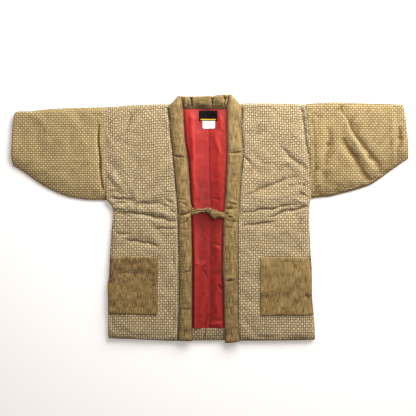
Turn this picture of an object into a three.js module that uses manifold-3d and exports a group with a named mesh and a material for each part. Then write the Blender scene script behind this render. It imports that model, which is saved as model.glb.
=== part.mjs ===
// A padded hanten jacket laid flat on its back, tied once in front.
// Millimetres, +Z up. The surface it lies on is z = 0, the collar is at +Y and the wearer's right at -X.
// The origin is under the middle of the jacket, half way between the cuffs and between collar and hem.

import * as THREE from "three";
import Module from "manifold-3d";

const wasm = await Module();
wasm.setup();

// Driving dimensions. One padded layer is two cloths with cotton wadding between them.
const GAP = 0.3;
const CURVED_SEAM_GAP = 0.6;
const BACK_THICK = 9;
const FRONT_THICK = 9.5;
const SLEEVE_THICK = 19;
const SLEEVE_WALL = 8;
const SLEEVE_SLIT = 2.6;
const BAND_THICK = 15.5;
const NECK_THICK = 17.5;
const LINING_THICK = 1.5;
const LABEL_THICK = 1.2;
const POCKET_THICK = 3;
const CENTRE_BACK_X = -2;
const LINING_HEM_Y = -356;
const SIDE_HEM_Y = -394;
const BODY_LENGTH = 764;
const BACK_PANEL_WIDTH = 339;
const FRONT_PANEL_WIDTH = 225;
const BAND_WIDTH = 46;
const BAND_LENGTH = 800;
const SLEEVE_LENGTH = 300;
const SLEEVE_DEPTH = 280;

// Levels of the layers, from the surface up.
const FRONT_FLOOR = BACK_THICK + GAP;
const LINING_TOP = FRONT_FLOOR + LINING_THICK;
const BAND_FLOOR = LINING_TOP + 0.4;
const LABEL_FLOOR = LINING_TOP + GAP;

// How the padding rounds off: the height left at a sewn edge and the width of the rounding.
const SEAM_RIM = 3.4;
const SEAM_ROUND = 15;
const BACK_RIM = 6;
const BACK_ROUND = 5;
const BAND_RIM = 5.5;
const BAND_ROUND = 16;
const SLEEVE_END_DROP = 5.5;
const SLEEVE_UNDER_ROUND = 42;
const UNDER_TUCK = 5;
const EDGE_STEPS = [0, 3, 8, 15];

// Rows of values as objects, with their columns named once.
function table(columns, rows) {
  const names = columns.split(" ");
  return rows.map((row) => Object.fromEntries(names.map((name, i) => [name, row[i]])));
}

// Side of the body on the wearer's right, from the shoulder down: armhole seam, underarm, side seam, hem.
const RIGHT_SIDE = table("y x", [
  [372, -341], [288, -341], [158, -340], [80, -337], [58, -334], [48, -325], [34, -317], [15, -315],
  [-40, -320], [-122, -325], [-184, -328], [-219, -333], [-260, -331], [-380, -331], [-392, -328],
]);
const LEFT_SIDE = table("y x", [
  [372, 309], [346, 313.5], [294, 319.5], [222, 325], [140, 326.5], [66, 327], [44, 323.5], [-5, 323],
  [-119, 328], [-184, 331], [-249, 331.5], [-304, 336], [-362, 341], [-388, 342], [-396, 339],
]);
// Shoulder fold and hem, from side to side.
const SHOULDER = table("x y", [
  [-341, 362], [-292, 365.5], [-260, 369], [-136, 372], [97, 372], [114, 375.5], [244, 374.5], [309, 370.5],
]);
const FRONT_HEM = table("x y", [
  [-331, -390], [-260, -392], [-195, -395], [-104, -398], [97, -397.5], [292, -396], [340, -394],
]);
// Where the collar is sewn round the back of the neck.
const NECKLINE = table("x y", [
  [-137, 371.5], [-120, 364], [-92, 359], [-20, 358.5], [55, 359.5], [82, 364], [98, 371.5],
]);

// Collar bands down the two front edges. The inner edge lies along the opening.
const RIGHT_BAND = table("y outer inner", [
  [398.4, -103.4, -97.5], [396.5, -107, -95], [390, -112.5, -92.6], [378.6, -120, -90.7],
  [370.5, -129, -89.4],
  [360, -135.5, -88.2], [343, -134.5, -87], [326.6, -131.6, -86], [287.6, -130, -83.8],
  [245, -125, -80.3], [200, -120, -73], [174, -118, -70], [92.6, -110.5, -65], [50, -106.6, -61.8],
  [37, -105.6, -59.2], [5, -104, -61.8], [-70, -102.4, -60], [-135, -101.4, -58.5], [-265, -100.8, -58.5],
  [-388, -104, -58.5],
]);
const LEFT_BAND = table("y outer inner", [
  [404.4, 68, 65.5], [401.4, 70.8, 62.7], [396.5, 74.8, 61.4], [386.7, 84.5, 59.5], [373.7, 95.2, 57],
  [362.4, 102.4, 55.3], [346, 104, 55.2], [320, 102.4, 55.2], [294, 100, 55.2], [261.6, 104, 55.2],
  [206, 107.2, 56.5], [190, 105.6, 55.2], [92.6, 97.5, 50.4], [11, 94.2, 45.5], [-21, 91, 43.9],
  [-70, 91, 42.2], [-184, 91, 40.6], [-216, 91, 43.9], [-330, 92.6, 45.5], [-401, 97, 47.8],
]);
const RIGHT_BAND_END = table("x y", [[-104, -397.5], [-58, -398.5]]);
const LEFT_BAND_END = table("x y", [[47, -404.6], [70, -403.5], [97, -399.7]]);

// The collar behind the neck: its upper edge runs on under the two bands, which lie on its ends.
const NECK_TOP = table("x y", [
  [-133, 371.5], [-120, 380], [-110, 391], [-104, 396], [-92, 396], [-60, 395], [0, 396.5], [6.5, 398],
  [14, 395], [33, 400], [62, 402], [72, 397.5], [84, 386.5], [94, 375],
]);
const NECK_JOINTS = table("y right left", [[402, -95, 64], [395, -94, 61.6], [355, -87, 54.6]]);

// Sleeves: upper and lower edges out to the cuff, and the cuff's own edge.
const RIGHT_SLEEVE_TOP = table("x y", [
  [-644, 345], [-617, 348.5], [-585, 348.5], [-552, 353], [-520, 356], [-422, 360.4], [-335, 362.5],
]);
const RIGHT_SLEEVE_BOTTOM = table("x y", [
  [-642, 172], [-617, 157.5], [-585, 135], [-552, 112], [-520, 94], [-487, 79.6], [-455, 69],
  [-422, 63.4], [-390, 60], [-330, 59],
]);
const RIGHT_CUFF = table("y x", [
  [347, -633], [333, -637], [304, -641], [255, -643.5], [206, -646.7], [172, -642],
]);
const LEFT_SLEEVE_TOP = table("x y", [
  [308, 370.5], [325, 373.7], [357, 376], [413, 378], [439, 376], [552, 373.4], [636, 370],
]);
const LEFT_SLEEVE_BOTTOM = table("x y", [
  [327, 65], [357, 69], [390, 72], [422, 80], [455, 88], [497, 100.7], [520, 109], [552, 128.4],
  [585, 152.7], [617, 175.5], [646, 195],
]);
const LEFT_CUFF = table("y x", [
  [370, 629], [343, 633], [304, 638.6], [255, 643.5], [210, 646], [195, 646.7],
]);

// Patch pockets, sewn into the side seams.
const RIGHT_POCKET = { top: -122, bottom: -307, inner: -171 };
const LEFT_POCKET = { top: -122, bottom: -308, inner: 162 };

// Folds: each runs from x0, y0 to x1, y1, bowed sideways by bow, as a soft trough or ridge of that half width
// and rise.
const FOLD_COLUMNS = "x0 y0 x1 y1 bow half rise";
const RIGHT_FRONT_FOLDS = table(FOLD_COLUMNS, [
  [-247, 346, -278, 268, -5, 12, -3],
  [-318, 47, -114, 37, -8, 11, -3.5],
  [-300, 32, -120, 12, -4, 10, 2],
  [-300, 22, -104, -11, -4, 11, -5],
  [-305, -44, -255, -50, 0, 10, -2.5],
  [-290, -67, -160, -94, -6, 11, -3.5],
  [-182, -31, -104, -31, 0, 10, -3],
  [-322, 140, -255, 112, 10, 24, 2.5],
  [-332, 96, -280, 74, 0, 9, -2.5],
  [-331, -201, -165, -202, 0, 12, -2.5],
]);
const LEFT_FRONT_FOLDS = table(FOLD_COLUMNS, [
  [220, 242, 322, 154, 3, 11, -4],
  [225, 222, 310, 142, 3, 12, 2],
  [104, 205, 134, 178, 0, 9, -2.5],
  [112, 76, 286, 140, -4, 11, -3.5],
  [96, 21, 296, 50, 4, 11, -4.5],
  [186, 5, 326, 41, -3, 10, -4],
  [96, -24, 214, -8, 2, 10, -3.5],
  [110, 60, 290, 92, 4, 16, 2],
  [294, 369, 325, 130, -5, 9, -4.5],
  [309, -245, 322, -262, 0, 9, -2],
]);
const RIGHT_SLEEVE_FOLDS = table(FOLD_COLUMNS, [
  [-362, 335, -350, 96, 5, 10, -5],
  [-400, 300, -380, 90, 5, 22, 2],
  [-560, 330, -540, 140, 5, 26, -1.5],
]);
const LEFT_SLEEVE_FOLDS = table(FOLD_COLUMNS, [
  [426, 356, 541, 148, 9, 12, 6],
  [420, 374, 556, 168, 12, 12, -4.5],
  [436, 262, 524, 122, 6, 12, -4.5],
  [374, 350, 357, 105, 3, 16, 3.5],
  [392, 300, 386, 170, 0, 14, -3],
  [598, 348, 598, 176, 0, 9, 2],
  [617, 302, 619, 226, 0, 10, -2.5],
]);
const RIGHT_BAND_FOLDS = table(FOLD_COLUMNS, [
  [-122, 203, -80, 196, 0, 8, -4],
  [-96, 290, -82, 272, 0, 8, -2.5],
  [-60, 26, -106, 52, 0, 8, -4],
  [-60, 19, -106, 15, 0, 7, -4.5],
  [-60, 10, -102, -18, 0, 8, -4],
  [-96, -178, -58, -166, 0, 8, -3],
  [-102, -294, -58, -294, 0, 8, -2.5],
]);
const LEFT_BAND_FOLDS = table(FOLD_COLUMNS, [
  [56, 211, 108, 217, 0, 8, -3.5],
  [48, 30, 104, 55, 0, 8, -4],
  [48, 21, 100, 21, 0, 7, -4.5],
  [48, 8, 98, -12, 0, 8, -4],
  [42, -201, 84, -200, 0, 8, -3.5],
  [46, -186, 84, -190, 0, 8, 2],
]);
const NECK_FOLDS = table(FOLD_COLUMNS, [
  [-62, 398, -58, 362, 0, 7, -4],
  [6.5, 400, 6.5, 362, 0, 6, -5],
  [44, 399, 50, 366, 0, 7, -3],
]);
const LINING_FOLDS = table(FOLD_COLUMNS, [
  [-46, 350, -45, 120, 0, 9, 2],
  [-66, 345, -62, 150, 0, 9, -0.8],
  [29, 356, 42, 284, 0, 9, 2],
  [14, 276, 40, 200, 0, 9, 2],
  [-20, 140, -14, -60, 0, 12, 1.6],
  [-50, -150, -8, -141, 0, 9, 1.6],
  [8, -90, 38, -98, 0, 9, 1.4],
  [20, -180, 26, -330, 0, 12, 1.4],
]);

// The tie: rings of a soft strap from the collar band to the knot, and the knot's free ends.
const TIE_COLUMNS = "x y half low high";
const RIGHT_TIE = table(TIE_COLUMNS, [
  [-58, 20.5, 12, 13, 21], [-50, 21.5, 13.5, 12.5, 22.5], [-38, 21.5, 12, 13, 21.5],
  [-28, 23.5, 9.5, 13, 21],
  [-20, 24.5, 9, 13, 22], [-14, 26, 13, 12.5, 26.5], [-6, 26, 13.5, 12.5, 28.5], [1, 26.5, 12, 12.5, 27.5],
  [6, 26, 8, 14, 24],
]);
const RIGHT_TIE_END = table(TIE_COLUMNS, [
  [-14, 34, 5, 15, 24], [-6, 35.5, 5.5, 14.5, 25], [3, 34, 4, 15, 23],
]);
const LEFT_TIE = table(TIE_COLUMNS, [
  [44.6, 14.2, 9, 13, 21], [38, 14.2, 11.5, 12.5, 22], [30, 14.6, 12, 12.5, 22.5], [18, 15, 13, 12.5, 23],
  [10, 18, 11.5, 13, 23.5], [6.4, 20, 8, 14, 23],
]);
const LEFT_TIE_END = table(TIE_COLUMNS, [
  [10, 7, 5, 12.5, 19], [20, 3.5, 7, 12.3, 19.5], [29, 5, 5, 12.5, 18.5],
]);

const LABEL = { left: -35.7, right: 24.3, bottom: 317, top: 351 };
const SIZE_TAG = { left: -24.3, right: 16.2, bottom: 291.5, top: 316.6, corner: 5 };

// Cloths, as plain colours.
const BODY_CLOTH = { color: 0xb39c72, roughness: 0.9, metalness: 0 };
const SLEEVE_CLOTH = { color: 0xb8995f, roughness: 0.9, metalness: 0 };
const PLAIN_CLOTH = { color: 0x93794a, roughness: 0.95, metalness: 0 };
const RED_LINING = { color: 0xb5352f, roughness: 0.7, metalness: 0 };
const LABEL_CLOTH = { color: 0x15140f, roughness: 0.6, metalness: 0 };
const TAG_CLOTH = { color: 0xf2f0ea, roughness: 0.7, metalness: 0 };

// A smooth function through a table's rows, with no overshoot between them and level beyond them.
function through(rows, place, value) {
  const sorted = [...rows].sort((a, b) => a[place] - b[place]);
  const at = sorted.map((row) => row[place]);
  const to = sorted.map((row) => row[value]);
  const rate = at.slice(1).map((_, i) => (to[i + 1] - to[i]) / (at[i + 1] - at[i]));
  const slope = at.map((_, i) => {
    if (i === 0 || i === at.length - 1) return rate[Math.min(i, rate.length - 1)];
    const [before, after] = [rate[i - 1], rate[i]];
    return before * after > 0 ? (2 * before * after) / (before + after) : 0;
  });
  return (x) => {
    const here = THREE.MathUtils.clamp(x, at[0], at[at.length - 1]);
    const i = Math.min(Math.max(at.findIndex((a) => a >= here), 1), at.length - 1) - 1;
    const span = at[i + 1] - at[i];
    const t = (here - at[i]) / span;
    const blend = t * t * (3 - 2 * t);
    const ease = span * t * (1 - t);
    return to[i] + (to[i + 1] - to[i]) * blend + ease * ((1 - t) * slope[i] - t * slope[i + 1]);
  };
}

// The relief of a table of folds, in millimetres, at a place on the cloth.
function reliefOf(folds) {
  return (x, y) => folds.reduce((sum, fold) => {
    const [dx, dy] = [fold.x1 - fold.x0, fold.y1 - fold.y0];
    const length = Math.hypot(dx, dy);
    const t = ((x - fold.x0) * dx + (y - fold.y0) * dy) / length ** 2;
    if (t <= 0 || t >= 1) return sum;
    const bend = fold.bow * 4 * t * (1 - t);
    const away = ((x - fold.x0) * dy - (y - fold.y0) * dx) / length - bend;
    const taper = Math.sqrt(Math.sin(Math.PI * t));
    return sum + fold.rise * taper * Math.exp(-((away / fold.half) ** 2));
  }, 0);
}

// A patch of cloth between four edges: u runs from left to right, v from bottom to top.
function patchOf(left, right, bottom, top) {
  return (u, v) => {
    let [x, y] = [0, 0];
    for (let pass = 0; pass < 6; pass += 1) {
      x = left(y) + (right(y) - left(y)) * u;
      y = bottom(x) + (top(x) - bottom(x)) * v;
    }
    return [x, y];
  };
}

// Fractions along a length, close together near both ends, where the padding rounds off.
function steps(length, count, close = EDGE_STEPS) {
  const last = close[close.length - 1];
  const pitch = (length - 2 * last) / count;
  const middle = Array.from({ length: count - 1 }, (_, i) => last + pitch * (i + 1));
  return [...close, ...middle, ...[...close].reverse().map((step) => length - step)].map((d) => d / length);
}

// The same fractions with a line put in at each given one, and none left close beside it.
function withLines(fractions, lines, closest) {
  const clear = (f) => lines.every((line) => Math.abs(line - f) > closest);
  const kept = fractions.filter((f) => f === 0 || f === 1 || clear(f));
  return [...kept, ...lines].sort((a, b) => a - b);
}

// The rounded profile of padding, 0 at its edge and 1 from a full rounding's width in.
function roundOff(distance, width) {
  return Math.sqrt(1 - (1 - Math.min(Math.max(distance, 0) / width, 1)) ** 2);
}

// The distance from a place on a patch to its nearest edge.
function toEdge(place, u, v) {
  const width = place(1, v)[0] - place(0, v)[0];
  const height = place(u, 1)[1] - place(u, 0)[1];
  return Math.min(u * width, (1 - u) * width, v * height, (1 - v) * height);
}

// A closed solid between two sheets of points. A plain underside is flat and has only the points of its rim.
function between({ columns, rows, top, bottom, plainUnderside }) {
  const [lastColumn, lastRow] = [columns.length - 1, rows.length - 1];
  const points = [];
  const faces = [];
  const add = (point) => points.push(point) - 1;
  const quad = (a, b, c, d) => faces.push([a, b, c], [a, c, d]);
  const onRim = (i, j) => i === 0 || j === 0 || i === lastColumn || j === lastRow;
  const hasLower = (i, j) => !plainUnderside || onRim(i, j);
  const upper = rows.map((v) => columns.map((u) => add(top(u, v))));
  const lower = rows.map((v, j) => columns.map((u, i) => (hasLower(i, j) ? add(bottom(u, v)) : null)));
  for (let j = 0; j < lastRow; j += 1) {
    for (let i = 0; i < lastColumn; i += 1) {
      quad(upper[j][i], upper[j][i + 1], upper[j + 1][i + 1], upper[j + 1][i]);
      if (!plainUnderside) quad(lower[j][i], lower[j + 1][i], lower[j + 1][i + 1], lower[j][i + 1]);
    }
  }
  if (plainUnderside) {
    const half = Math.floor(lastColumn / 2);
    for (let i = 0; i < lastColumn; i += 1) {
      const side = i < half ? 0 : lastColumn;
      faces.push([lower[0][i + 1], lower[0][i], lower[1][side]]);
      faces.push([lower[lastRow][i], lower[lastRow][i + 1], lower[lastRow - 1][side]]);
    }
    faces.push([lower[0][half], lower[1][0], lower[1][lastColumn]]);
    faces.push([lower[lastRow][half], lower[lastRow - 1][lastColumn], lower[lastRow - 1][0]]);
    for (let j = 1; j < lastRow - 1; j += 1) {
      quad(lower[j][0], lower[j + 1][0], lower[j + 1][lastColumn], lower[j][lastColumn]);
    }
  }
  const rim = [
    ...columns.map((_, i) => [i, 0]),
    ...rows.slice(1).map((_, j) => [lastColumn, j + 1]),
    ...columns.slice(1).map((_, i) => [lastColumn - 1 - i, lastRow]),
    ...rows.slice(2).map((_, j) => [0, lastRow - 1 - j]),
  ];
  rim.forEach(([i, j], k) => {
    const [m, n] = rim[(k + 1) % rim.length];
    quad(upper[j][i], lower[j][i], lower[n][m], upper[n][m]);
  });
  return { points, faces };
}

// The upper surface of a padded piece: rounded at its edges, with its folds pressed into it.
function paddedTop({ place, base, thick, rim, round, relief }) {
  return (u, v) => {
    const [x, y] = place(u, v);
    return [x, y, base + rim + (thick - rim + relief(x, y)) * roundOff(toEdge(place, u, v), round)];
  };
}

// A padded piece with a flat underside, which is drawn in by its tuck where it curls up to the edge.
function padded(cut) {
  const { place, columns, rows, base, tuck = 0 } = cut;
  const width = place(1, 0.5)[0] - place(0, 0.5)[0];
  const height = place(0.5, 1)[1] - place(0.5, 0)[1];
  const inset = (t, length) => (tuck + t * (length - 2 * tuck)) / length;
  const bottom = (u, v) => [...place(inset(u, width), inset(v, height)), base];
  return between({ columns, rows, top: paddedTop(cut), bottom, plainUnderside: true });
}

const flat = () => 0;
const level = (y) => () => y;
const shifted = (edge, by) => (at) => edge(at) + by;

const rightSide = through(RIGHT_SIDE, "y", "x");
const leftSide = through(LEFT_SIDE, "y", "x");
const shoulder = through(SHOULDER, "x", "y");
const frontHem = through(FRONT_HEM, "x", "y");
const neckline = through(NECKLINE, "x", "y");
const rightBandOuter = through(RIGHT_BAND, "y", "outer");
const rightBandInner = through(RIGHT_BAND, "y", "inner");
const leftBandOuter = through(LEFT_BAND, "y", "outer");
const leftBandInner = through(LEFT_BAND, "y", "inner");

// Back panels, one each side of the centre back seam. Their inner ends follow the neckline.
const [neckStart, neckEnd] = [NECKLINE[0].x, NECKLINE[NECKLINE.length - 1].x];
const backTop = (x) => (x > neckStart && x < neckEnd ? neckline(x) : shoulder(x));

// Both body layers have rows of points at the turns of the underarm.
const rowAt = (y) => (y - SIDE_HEM_Y) / BODY_LENGTH;
const UNDERARM_ROWS = [66, 58, 48, 34, 15].map(rowAt);

function backPanel(left, right) {
  const place = patchOf(left, right, shifted(frontHem, 0.5), backTop);
  const rows = withLines(steps(BODY_LENGTH, 22, [0, 2, 5]), UNDERARM_ROWS, 0.009);
  const columnAt = (x) => (x - place(0, 1)[0]) / (place(1, 1)[0] - place(0, 1)[0]);
  const neckColumns = NECKLINE.map(({ x }) => columnAt(x)).filter((u) => u > 0.05 && u < 0.95);
  return padded({
    place, columns: withLines(steps(BACK_PANEL_WIDTH, 5, [0, 2, 5]), neckColumns, 0.03), rows, base: 0,
    thick: BACK_THICK, rim: BACK_RIM, round: BACK_ROUND, tuck: UNDER_TUCK, relief: flat,
  });
}

// Front panels. A row or column of their points lies along each edge of the pocket sewn on them.
function frontCut(left, right, folds, pocket) {
  const place = patchOf(left, right, frontHem, shoulder);
  const pocketRows = [pocket.bottom, pocket.top].map(rowAt);
  const middleY = (pocket.top + pocket.bottom) / 2;
  const pocketColumn = (pocket.inner - left(middleY)) / (right(middleY) - left(middleY));
  return {
    place, base: FRONT_FLOOR, thick: FRONT_THICK, rim: SEAM_RIM, round: SEAM_ROUND, relief: reliefOf(folds),
    columns: withLines(steps(FRONT_PANEL_WIDTH, 11), [pocketColumn], 0.03), pocketColumn,
    rows: withLines(steps(BODY_LENGTH, 35), [...UNDERARM_ROWS, ...pocketRows], 0.009), pocketRows,
  };
}

const beforeSeam = -CURVED_SEAM_GAP;
const afterSeam = CURVED_SEAM_GAP;
const rightFront = frontCut(rightSide, shifted(rightBandOuter, beforeSeam), RIGHT_FRONT_FOLDS, RIGHT_POCKET);
const leftFront = frontCut(shifted(leftBandOuter, afterSeam), leftSide, LEFT_FRONT_FOLDS, LEFT_POCKET);

// A pocket is made from the points of its front panel, moved out, and is thin at the rim.
function pocketOn(front, fromSide, toSide) {
  const near = (t, line) => Math.abs(t - line) < 1e-6;
  const [low, high] = front.pocketRows;
  const rows = front.rows.filter((v) => v > low - 1e-6 && v < high + 1e-6);
  const columns = front.columns.filter((u) => u > fromSide - 1e-6 && u < toSide + 1e-6);
  const surface = paddedTop(front);
  const lift = (by) => (u, v) => {
    const [x, y, z] = surface(u, v);
    return [x, y, z + by(u, v)];
  };
  const edge = (u, v) => [low, high].some((row) => near(v, row)) || near(u, front.pocketColumn);
  return between({
    columns, rows, bottom: lift(() => GAP + 0.1), plainUnderside: false,
    top: lift((u, v) => GAP + 0.1 + (edge(u, v) ? POCKET_THICK * 0.5 : POCKET_THICK)),
  });
}

// Collar bands, on the front edges and over the lining.
function bandCut(left, right, end, topY, folds) {
  return padded({
    place: patchOf(left, right, through(end, "x", "y"), level(topY)), base: BAND_FLOOR, thick: BAND_THICK,
    rim: BAND_RIM, round: BAND_ROUND, relief: reliefOf(folds), columns: steps(BAND_WIDTH, 3, [0, 3, 9]),
    rows: steps(BAND_LENGTH, 48),
  });
}

// The collar behind the neck. It is thin where the bands lie on its ends, and full between them.
function neckCut() {
  const jointRight = through(NECK_JOINTS, "y", "right");
  const jointLeft = through(NECK_JOINTS, "y", "left");
  const [leftEnd, rightEnd] = [NECK_TOP[0].x, NECK_TOP[NECK_TOP.length - 1].x];
  const [from, to] = [1 / 4, 3 / 4];
  const across = (y, u) => {
    const [a, b] = [jointRight(y) + 1, jointLeft(y) - 1];
    if (u < from) return leftEnd + (a - leftEnd) * (u / from);
    if (u > to) return b + (rightEnd - b) * ((u - to) / (1 - to));
    return a + (b - a) * ((u - from) / (to - from));
  };
  const upper = through(NECK_TOP, "x", "y");
  const place = (u, v) => {
    let [x, y] = [0, 380];
    for (let pass = 0; pass < 6; pass += 1) {
      x = across(y, u);
      const lower = neckline(x) + 0.8;
      y = lower + (upper(x) - lower) * v;
    }
    return [x, y];
  };
  const hidden = FRONT_FLOOR;
  const relief = reliefOf(NECK_FOLDS);
  const top = (u, v) => {
    const [x, y] = place(u, v);
    const depth = upper(x) - neckline(x);
    const inward = Math.min(x - jointRight(y) - 1, jointLeft(y) - 1 - x);
    const rounded = Math.min(roundOff(inward, 12), roundOff(Math.min(v, 1 - v) * depth, 12));
    const rim = hidden - 3 * (1 - roundOff(Math.min(v, 1 - v) * depth, 8));
    return [x, y, rim + Math.max(0, NECK_THICK - hidden + relief(x, y)) * rounded];
  };
  const visible = steps(155, 14, [0, 3, 8]).map((t) => from + (to - from) * t);
  const columns = [0, 0.5, 1].flatMap((t) => [from * t, to + (1 - to) * t])
    .concat(visible).sort((a, b) => a - b).filter((u, i, all) => i === 0 || u - all[i - 1] > 1e-6);
  const bottom = (u, v) => [...place(0.01 + 0.98 * u, 0.06 + 0.88 * v), 0];
  const rows = [0, 0.08, 0.22, 0.4, 0.6, 0.78, 0.92, 1];
  return between({ columns, rows, top, bottom, plainUnderside: true });
}

// The lining shows between the bands and runs a little way under them, with its own centre seam.
const UNDER_BAND = 10;
const LINING_SEAM = table("y x", [[360, -4.9], [175, -4.9], [60, 0], [-265, 0], [-356, -3.2]]);
const liningSeam = through(LINING_SEAM, "y", "x");
const liningFolds = reliefOf(LINING_FOLDS);
const labels = new THREE.Box2(
  new THREE.Vector2(LABEL.left, SIZE_TAG.bottom), new THREE.Vector2(LABEL.right, LABEL.top),
);
const besideLabels = (x, y) => {
  const clear = labels.distanceToPoint(new THREE.Vector2(x, y));
  return THREE.MathUtils.smoothstep(clear, 2, 16);
};
const besideBands = (x, y) => {
  const clear = Math.min(x - rightBandInner(y), leftBandInner(y) - x);
  return THREE.MathUtils.smoothstep(clear, 3, 14);
};

function liningHalf(left, right) {
  const place = patchOf(left, right, level(LINING_HEM_Y), shifted(neckline, -0.3));
  const top = (u, v) => {
    const [x, y] = place(u, v);
    return [x, y, LINING_TOP + Math.max(0, liningFolds(x, y)) * besideLabels(x, y) * besideBands(x, y)];
  };
  const bottom = (u, v) => [...place(u, v), FRONT_FLOOR];
  const [columns, rows] = [steps(72, 4, [0, 8]), steps(714, 26, [0, 10])];
  return between({ columns, rows, top, bottom, plainUnderside: true });
}

// The hem of the back, turned up inside and seen below the lining.
function hemFacing() {
  const left = shifted(rightBandInner, -UNDER_BAND);
  const right = shifted(leftBandInner, UNDER_BAND);
  return padded({
    place: patchOf(left, right, level(-396), level(LINING_HEM_Y - GAP)), base: FRONT_FLOOR,
    thick: LINING_THICK, rim: 1, round: 4, relief: flat,
    columns: steps(120, 6, [0, 4]), rows: steps(40, 2, [0, 4]),
  });
}

// A thin woven label, flat on the lining, with its lower corners rounded by the given radius.
function labelOf({ left, right, bottom, top, corner = 0.8 }) {
  const drawnIn = (y) => corner * (1 - roundOff(y - bottom, corner));
  const place = (u, v) => {
    const y = bottom + (top - bottom) * v;
    return [left + drawnIn(y) + (right - left - 2 * drawnIn(y)) * u, y];
  };
  return padded({
    place, base: LABEL_FLOOR, thick: LABEL_THICK, rim: LABEL_THICK * 0.8, round: 1, relief: flat,
    columns: steps(right - left, 2, [0, 1]), rows: [0, 0.01, 0.04, 0.1, 0.2, 0.5, 0.97, 1],
  });
}

// A sleeve is one cloth folded at its upper edge: a flattened tube, open at the armhole and the cuff.
function sleeve(armhole, cuff, bottom, top, folds) {
  const place = (u, w) => {
    let [x, y] = [armhole(200), 0];
    for (let pass = 0; pass < 8; pass += 1) {
      y = bottom(x) + (top(x) - bottom(x)) * w;
      x = armhole(y) + (cuff(y) - armhole(y)) * u;
    }
    return [x, y];
  };
  const relief = reliefOf(folds);
  const seamRim = SLEEVE_WALL + 0.5;
  const upperPoint = (u, w) => {
    const [x, y] = place(u, w);
    const depth = place(u, 1)[1] - place(u, 0)[1];
    const run = Math.abs(place(1, w)[0] - place(0, w)[0]);
    const across = Math.min(roundOff(w * depth, SLEEVE_UNDER_ROUND), roundOff((1 - w) * depth, SEAM_ROUND));
    const ends = roundOff(Math.min(u, 1 - u) * run, SEAM_ROUND);
    const full = SLEEVE_THICK - seamRim + relief(x, y) * ends;
    return [x, y, seamRim + (full - SLEEVE_END_DROP * (1 - ends)) * across];
  };
  const widths = steps(SLEEVE_DEPTH, 12);
  const lowerWidths = Array.from({ length: 9 }, (_, i) => 1 - i / 8);
  const scaled = (w, u, by) => {
    const depth = place(u, 1)[1] - place(u, 0)[1];
    return (by + w * (depth - 2 * by)) / depth;
  };
  const outerLoop = (u) => [
    ...widths.map((w) => upperPoint(u, w)),
    ...lowerWidths.map((w) => [...place(u, scaled(w, u, UNDER_TUCK)), 0]),
  ];
  const innerLoop = (u) => [
    ...widths.map((w) => [...place(u, scaled(w, u, SLEEVE_WALL)), SLEEVE_WALL + SLEEVE_SLIT]),
    ...lowerWidths.map((w) => [...place(u, scaled(w, u, SLEEVE_WALL)), SLEEVE_WALL]),
  ];
  return tube(steps(SLEEVE_LENGTH, 13).map(outerLoop), [0, 0.25, 0.5, 0.75, 1].map(innerLoop));
}

// A tube with walls: loops of outer points from end to end, and loops of inner points from end to end.
function tube(outerLoops, innerLoops) {
  const points = [];
  const faces = [];
  const add = (loop) => loop.map((point) => points.push(point) - 1);
  const outer = outerLoops.map(add);
  const inner = innerLoops.map(add);
  const quad = (a, b, c, d) => faces.push([a, b, c], [a, c, d]);
  const around = outer[0].length;
  const join = (a, b) => {
    for (let m = 0; m < around; m += 1) quad(a[m], a[(m + 1) % around], b[(m + 1) % around], b[m]);
  };
  outer.slice(1).forEach((loop, k) => join(outer[k], loop));
  inner.slice(1).forEach((loop, k) => join(loop, inner[k]));
  join(inner[0], outer[0]);
  join(outer[outer.length - 1], inner[inner.length - 1]);
  return { points, faces };
}

// A soft strap through its rings, closed at both ends.
function strap(rings) {
  const around = 10;
  const columns = ["y", "half", "low", "high"].map((name) => through(rings, "x", name));
  const [from, to] = [rings[0].x, rings[rings.length - 1].x];
  const count = 2 * (rings.length - 1);
  const points = [];
  const faces = [];
  for (let k = 0; k <= count; k += 1) {
    const x = from + ((to - from) * k) / count;
    const [y, half, low, high] = columns.map((column) => column(x));
    for (let m = 0; m < around; m += 1) {
      const angle = (2 * Math.PI * (m + 0.5)) / around;
      points.push([x, y + half * Math.cos(angle), (low + high) / 2 + ((high - low) / 2) * Math.sin(angle)]);
    }
  }
  for (let k = 0; k < count; k += 1) {
    for (let m = 0; m < around; m += 1) {
      const [a, b] = [k * around + m, k * around + ((m + 1) % around)];
      faces.push([a, b, b + around], [a, b + around, a + around]);
    }
  }
  for (let m = 1; m < around - 1; m += 1) {
    faces.push([0, m + 1, m], [count * around, count * around + m, count * around + m + 1]);
  }
  return { points, faces };
}

// A body's signed volume, which is negative where its faces point in.
function volumeOf({ points, faces }) {
  return faces.reduce((sum, [a, b, c]) => {
    const [p, q, r] = [points[a], points[b], points[c]];
    const cross = [q[1] * r[2] - q[2] * r[1], q[2] * r[0] - q[0] * r[2], q[0] * r[1] - q[1] * r[0]];
    return sum + (p[0] * cross[0] + p[1] * cross[1] + p[2] * cross[2]) / 6;
  }, 0);
}

const facingOut = (body) => (volumeOf(body) < 0
  ? { points: body.points, faces: body.faces.map(([a, b, c]) => [a, c, b]) }
  : body);

// Joins two straps that are sewn or knotted into one.
function joined(first, second) {
  const [a, b] = [first, second].map(facingOut).map(({ points, faces }) => new wasm.Manifold(new wasm.Mesh({
    numProp: 3, vertProperties: new Float32Array(points.flat()), triVerts: new Uint32Array(faces.flat()),
  })));
  const { vertProperties, triVerts, numProp } = a.add(b).getMesh();
  const points = Array.from({ length: vertProperties.length / numProp }, (_, i) => (
    [0, 1, 2].map((axis) => vertProperties[i * numProp + axis])));
  const corners = Array.from(triVerts);
  const faces = Array.from({ length: corners.length / 3 }, (_, i) => corners.slice(3 * i, 3 * i + 3));
  return { points, faces };
}

const group = new THREE.Group();

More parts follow.
